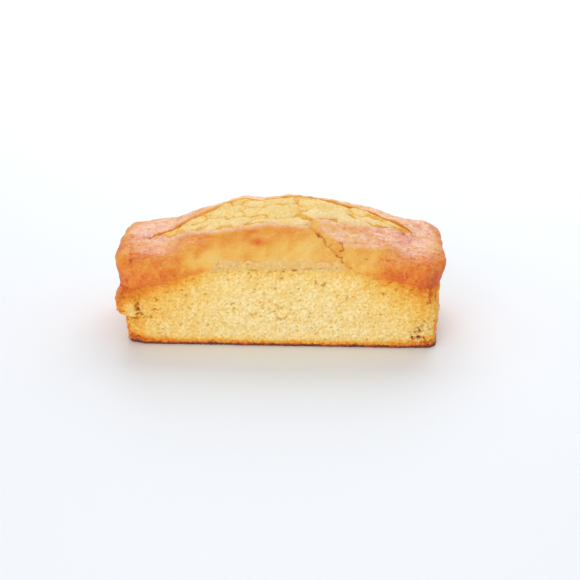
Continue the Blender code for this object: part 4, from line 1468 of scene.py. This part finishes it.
def build_split():
    columns, rows = SPLIT_GRID
    x_line = np.linspace(SPLIT_START + 0.6, SPLIT_END - 0.6, columns)
    front, behind = split_lips(x_line)
    middle, half = 0.5 * (front + behind), 0.5 * (behind - front)
    across = np.linspace(-1.0, 1.0, rows)[:, None]
    x = np.ones((rows, 1)) * x_line
    y = middle + across * (half + SPLIT_TUCK)
    inside = half + SPLIT_TUCK - np.abs(y - middle)
    place = np.stack([x, y, 0.0 * x], axis=-1)
    height, solid, dryness_and_sheen = lump_field(place)
    tip = smooth_step(0.52, 0.92, np.abs(x) / 81.0)
    risen = height * (1.0 - 0.5 * tip) + 0.5 * tip
    risen += layered(place, (0.22, 9.0, 421), (0.11, 3.0, 422))
    back_side = smooth_step(0.0, 0.6, across)
    soft = plateau(x, FRONT_LIP_SOFT) * (1.0 - back_side)
    right_furrow = plateau(x, (16.0, 22.0, 70.0, 80.0)) * (1.0 - back_side)
    furrow = np.exp(-((inside / 2.2) ** 2)) * (
        3.0 - 1.7 * tip - 1.7 * soft * (1.0 - tip))
    trough = np.exp(-(((inside - 3.2) / 2.8) ** 2)) * (
        back_side * (0.9 - 0.3 * tip) + 0.9 * right_furrow * (1.0 - tip))
    level = crown_level(x, y) + 0.5 + risen - furrow - trough
    flat = np.stack([x - MIDDLE[0], y - MIDDLE[1]], axis=-1)
    creased = sum(line_mark(flat, path, 0.9) for path in CREASES)
    points = np.stack([x, y, level - 1.0 * creased], axis=-1)
    # Painted shade in the valleys and creases between the lumps; the same value browns them a
    # little.
    shade = np.clip((1.0 - solid) * 0.6 + creased * 0.6, 0.0, 1.0)
    lip_bake = np.exp(-((inside / 3.0) ** 2))
    bake = 0.23 + 0.46 * shade + lip_bake * (0.19 + 0.2 * right_furrow - 0.2 * soft)
    bake += 0.45 * back_side * np.exp(-((inside / 5.5) ** 2))
    bake += 0.26 * tip * (0.2 + 0.8 * back_side) + 0.04 * ripples(place, 8.0, 431)
    dryness_and_sheen = np.clip(dryness_and_sheen * solid, 0.0, 1.0) * smooth_step(0.4, 1.6, inside)
    even = 0.0 * bake
    piece = grid_mesh("split_crumb", points, {
        "bake": bake, "crumb": even + 0.7, "painted_shade_and_char": 0.25 * shade, "dryness_and_sheen": dryness_and_sheen,
        "wrinkle": 0.7 * dryness_and_sheen + 0.15, "pebble": even + 0.35}, closed=False)
    return apply_trees(piece, (
        (RELIEF, {"Wrinkle spacing": 0.0022, "Wrinkle height": 0.0002, "Pebble height": 0.00022,
                  "Pebble size": 0.002, "Seed": 8.0, "Material": CRUMB}),
        pores(0.0034, 0.0009, 0.0005, 0.55, 0.7, (1.2, 1.0, 1.0), 5.0, CRUMB)))


SPLIT = build_split()

# %% [markdown]
# ## The base crust
#
# The underside baked on the tin's floor into a thin brown crust. It turns up
# round the foot of the walls by about three millimetres, ends in a ragged edge
# and tucks in behind it.

# %% Base crust
BASE_SPACING = 0.55
UNDERSIDE_ROWS = (0.0, 0.25, 0.5, 0.75, 0.9, 0.97)
UPTURN_START = 0.75                 # level from which the upturn's height varies
FLOOR_ROWS = 4                      # rows of the profile below that level
FOOT_PROFILE = (
    # out, and up: millimetres in the floor rows, then shares of the upturn
    (-0.9, 0.0), (-0.4, 0.08), (-0.05, 0.35), (0.15, 0.75), (0.26, 0.3), (0.26, 0.45),
    (0.22, 0.6), (0.16, 0.75), (0.08, 0.88), (-0.08, 0.98), (-0.4, 1.04), (-0.9, 0.98))


def build_base():
    share = shares_between(0.0, 1.0, BASE_SPACING)[:-1]
    inner, outward, start = tin_line(share)
    line = np.stack([start[:, 0], start[:, 1], 0.0 * share], axis=-1)
    corner = np.exp(-(np.minimum(np.abs(corner_distance(start, -1.0)),
                                 np.abs(corner_distance(start, 1.0))) / 12.0) ** 2)
    tall = 3.0 + 1.2 * corner + layered(line, (0.4, 12.0, 501), (0.5, 3.5, 502))
    tall = np.clip(tall, 1.9, 5.4)
    foot = wall_offset(start, 0.0) + layered(line, (0.14, 9.0, 503), (0.1, 2.8, 504))
    strips, brown = [], []
    for share_in in UNDERSIDE_ROWS:
        plan = ring_plan(inner, outward, foot - 1.2)
        plan = np.stack([plan[:, 0] * (0.55 + 0.45 * share_in), plan[:, 1] * share_in], axis=-1)
        strips.append(np.column_stack([plan, 0.12 * (1.0 - share_in ** 8) + 0.0 * share]))
        brown.append(0.5 + 0.0 * share)
    for number, (out, rise) in enumerate(FOOT_PROFILE):
        level = UPTURN_START + (tall - UPTURN_START) * rise
        if number < FLOOR_ROWS:
            level = np.full(len(share), rise)
        at_level = wall_offset(start, level) - wall_offset(start, 0.0)
        rough = 0.16 * ripples(np.column_stack([start, level]), 2.0, 505)
        plan = ring_plan(inner, outward, foot + at_level + out + rough)
        strips.append(np.column_stack([plan, level]))
        brown.append(1.05 - 0.75 * smooth_step(0.7, 3.4, level) + 0.25 * corner)
    points, bake = np.array(strips), np.array(brown)
    bake = bake + layered(points, (0.1, 7.0, 511), (0.1, 2.5, 512))
    piece = grid_mesh("base_crust", points, {"bake": bake}, closed=True)
    piece.data.materials.append(BASE)
    print("base_crust:", len(piece.data.polygons), "faces")
    return piece


BOTTOM = build_base()

# %% [markdown]
# ## Clinging crumbs
#
# A cut or torn cake sheds crumbs. They cling where it is damaged: in the torn
# corner, in the crumbled hollow, and along the edge of the base. The tree
# scatters points where the attribute `loose` is high and puts a knobbly grain
# of twenty faces on each. Every grain gets its own cell of the UV map.

# %% Loose crumbs
CRUMB_CELLS = 24                    # cells of the UV map along each side
LOOSE_SPOTS = ((-88.0, 23.0, 5.0, 5.0), (87.0, 8.0, 5.0, 6.0))
LOOSE_FOOT = (2.6, 3.6, 4.6, 6.0)
LOOSE_EDGE = ((45.0, 49.0, 53.0, 56.0), (-50.0, -40.0, 40.0, 50.0))


def build_scatter_tree():
    tree = new_tree("clinging_crumbs", {
        "Per square metre": 400000.0, "Least size": 0.0003, "Greatest size": 0.0009,
        "Seed": 0, "Material": None})
    w = Wiring(tree)
    given = w.source.outputs
    likely = w.math("MULTIPLY", w.attribute("loose"), given["Per square metre"])
    scatter = w.add("GeometryNodeDistributePointsOnFaces",
                    {"Mesh": given["Geometry"], "Seed": given["Seed"], "Density": likely})
    grain = w.add("GeometryNodeMeshIcoSphere", {"Radius": 1.0, "Subdivisions": 1})
    mapped = w.store(grain.outputs["Mesh"], "OFBake", grain.outputs["UV Map"], "FLOAT2", "CORNER")
    size = w.add("FunctionNodeRandomValue",
                 {"Min": given["Least size"], "Max": given["Greatest size"],
                  "Seed": given["Seed"]}, data_type="FLOAT")
    turn = w.add("FunctionNodeRandomValue", {"Seed": given["Seed"]}, data_type="FLOAT_VECTOR")
    turn.inputs["Max"].default_value = (6.28, 6.28, 6.28)
    size_value, turn_value = (next(socket for socket in node.outputs if socket.enabled)
                              for node in (size, turn))
    placed = w.add("GeometryNodeInstanceOnPoints",
                   {"Points": scatter.outputs["Points"], "Instance": mapped,
                    "Rotation": turn_value, "Scale": size_value})
    number = w.add("GeometryNodeInputIndex").outputs[0]
    numbered = w.store(placed.outputs[0], "cell", number, domain="INSTANCE")
    real = w.add("GeometryNodeRealizeInstances", {"Geometry": numbered})
    place = w.add("GeometryNodeInputPosition").outputs[0]
    knobbly = w.pushed(real.outputs[0], w.shake(place, 1300.0, 0.0009))
    cell = w.attribute("cell")
    column = w.math("FLOORED_MODULO", cell, float(CRUMB_CELLS))
    row = w.math("FLOOR", w.math("DIVIDE", cell, float(CRUMB_CELLS)))
    corner = w.add("ShaderNodeCombineXYZ", {"X": column, "Y": row}).outputs[0]
    old = w.add("GeometryNodeInputNamedAttribute", {"Name": "OFBake"}, data_type="FLOAT_VECTOR")
    inside = w.scaled(old.outputs["Attribute"], 0.9)
    cells = w.scaled(w.vector("ADD", inside, corner), 1.0 / CRUMB_CELLS)
    w.end(w.store(knobbly, "OFBake", cells, "FLOAT2", "CORNER"), given["Material"])
    return tree


def loose_places(mesh):
    """How likely a crumb is to cling at each point of the front side."""
    flat = np.zeros(len(mesh.vertices) * 3, dtype=np.float32)
    mesh.vertices.foreach_get("co", flat)
    x, _, z = (flat.reshape(-1, 3) / MM).T
    loose = 0.35 * plateau(z, LOOSE_FOOT)
    loose += 0.12 * plateau(z, LOOSE_EDGE[0]) * plateau(x, LOOSE_EDGE[1])
    for along, up, half_along, half_up in LOOSE_SPOTS:
        loose += hump(np.hypot((x - along) / half_along, (z - up) / half_up), 0.0, 1.0)
    return np.clip(loose, 0.0, 1.0)


def build_crumbs(source):
    piece = bpy.data.objects.new("loose_crumbs", source.data.copy())
    bpy.context.scene.collection.objects.link(piece)
    store = piece.data.attributes.new("loose", "FLOAT", "POINT")
    store.data.foreach_set("value", loose_places(piece.data).astype(np.float32))
    apply_trees(piece, ((build_scatter_tree(), {
        "Per square metre": 330000.0, "Least size": 0.00025, "Greatest size": 0.0007,
        "Seed": 17, "Material": CRUMB}),))
    piece.data.shade_smooth()
    return piece


CRUMBS = build_crumbs(FRONT_SIDE)

# %% [markdown]
# ## Attach the pieces
#
# Every piece belongs to the one body of the loaf and takes the solid's place.

# %% Ride and replace
SLOTS = ((FRONT_SIDE, "pale_crumb"), (BACK_SIDE, "pale_crumb"), (SPLIT, "pale_crumb"),
         (CRUMBS, "pale_crumb"), (LEFT_END, "golden_crust"), (RIGHT_END, "golden_crust"),
         (CROWN, "golden_crust"), (BOTTOM, "brown_base_crust"))
for piece, slot_name in SLOTS:
    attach(piece, "root")
    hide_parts(NODE)
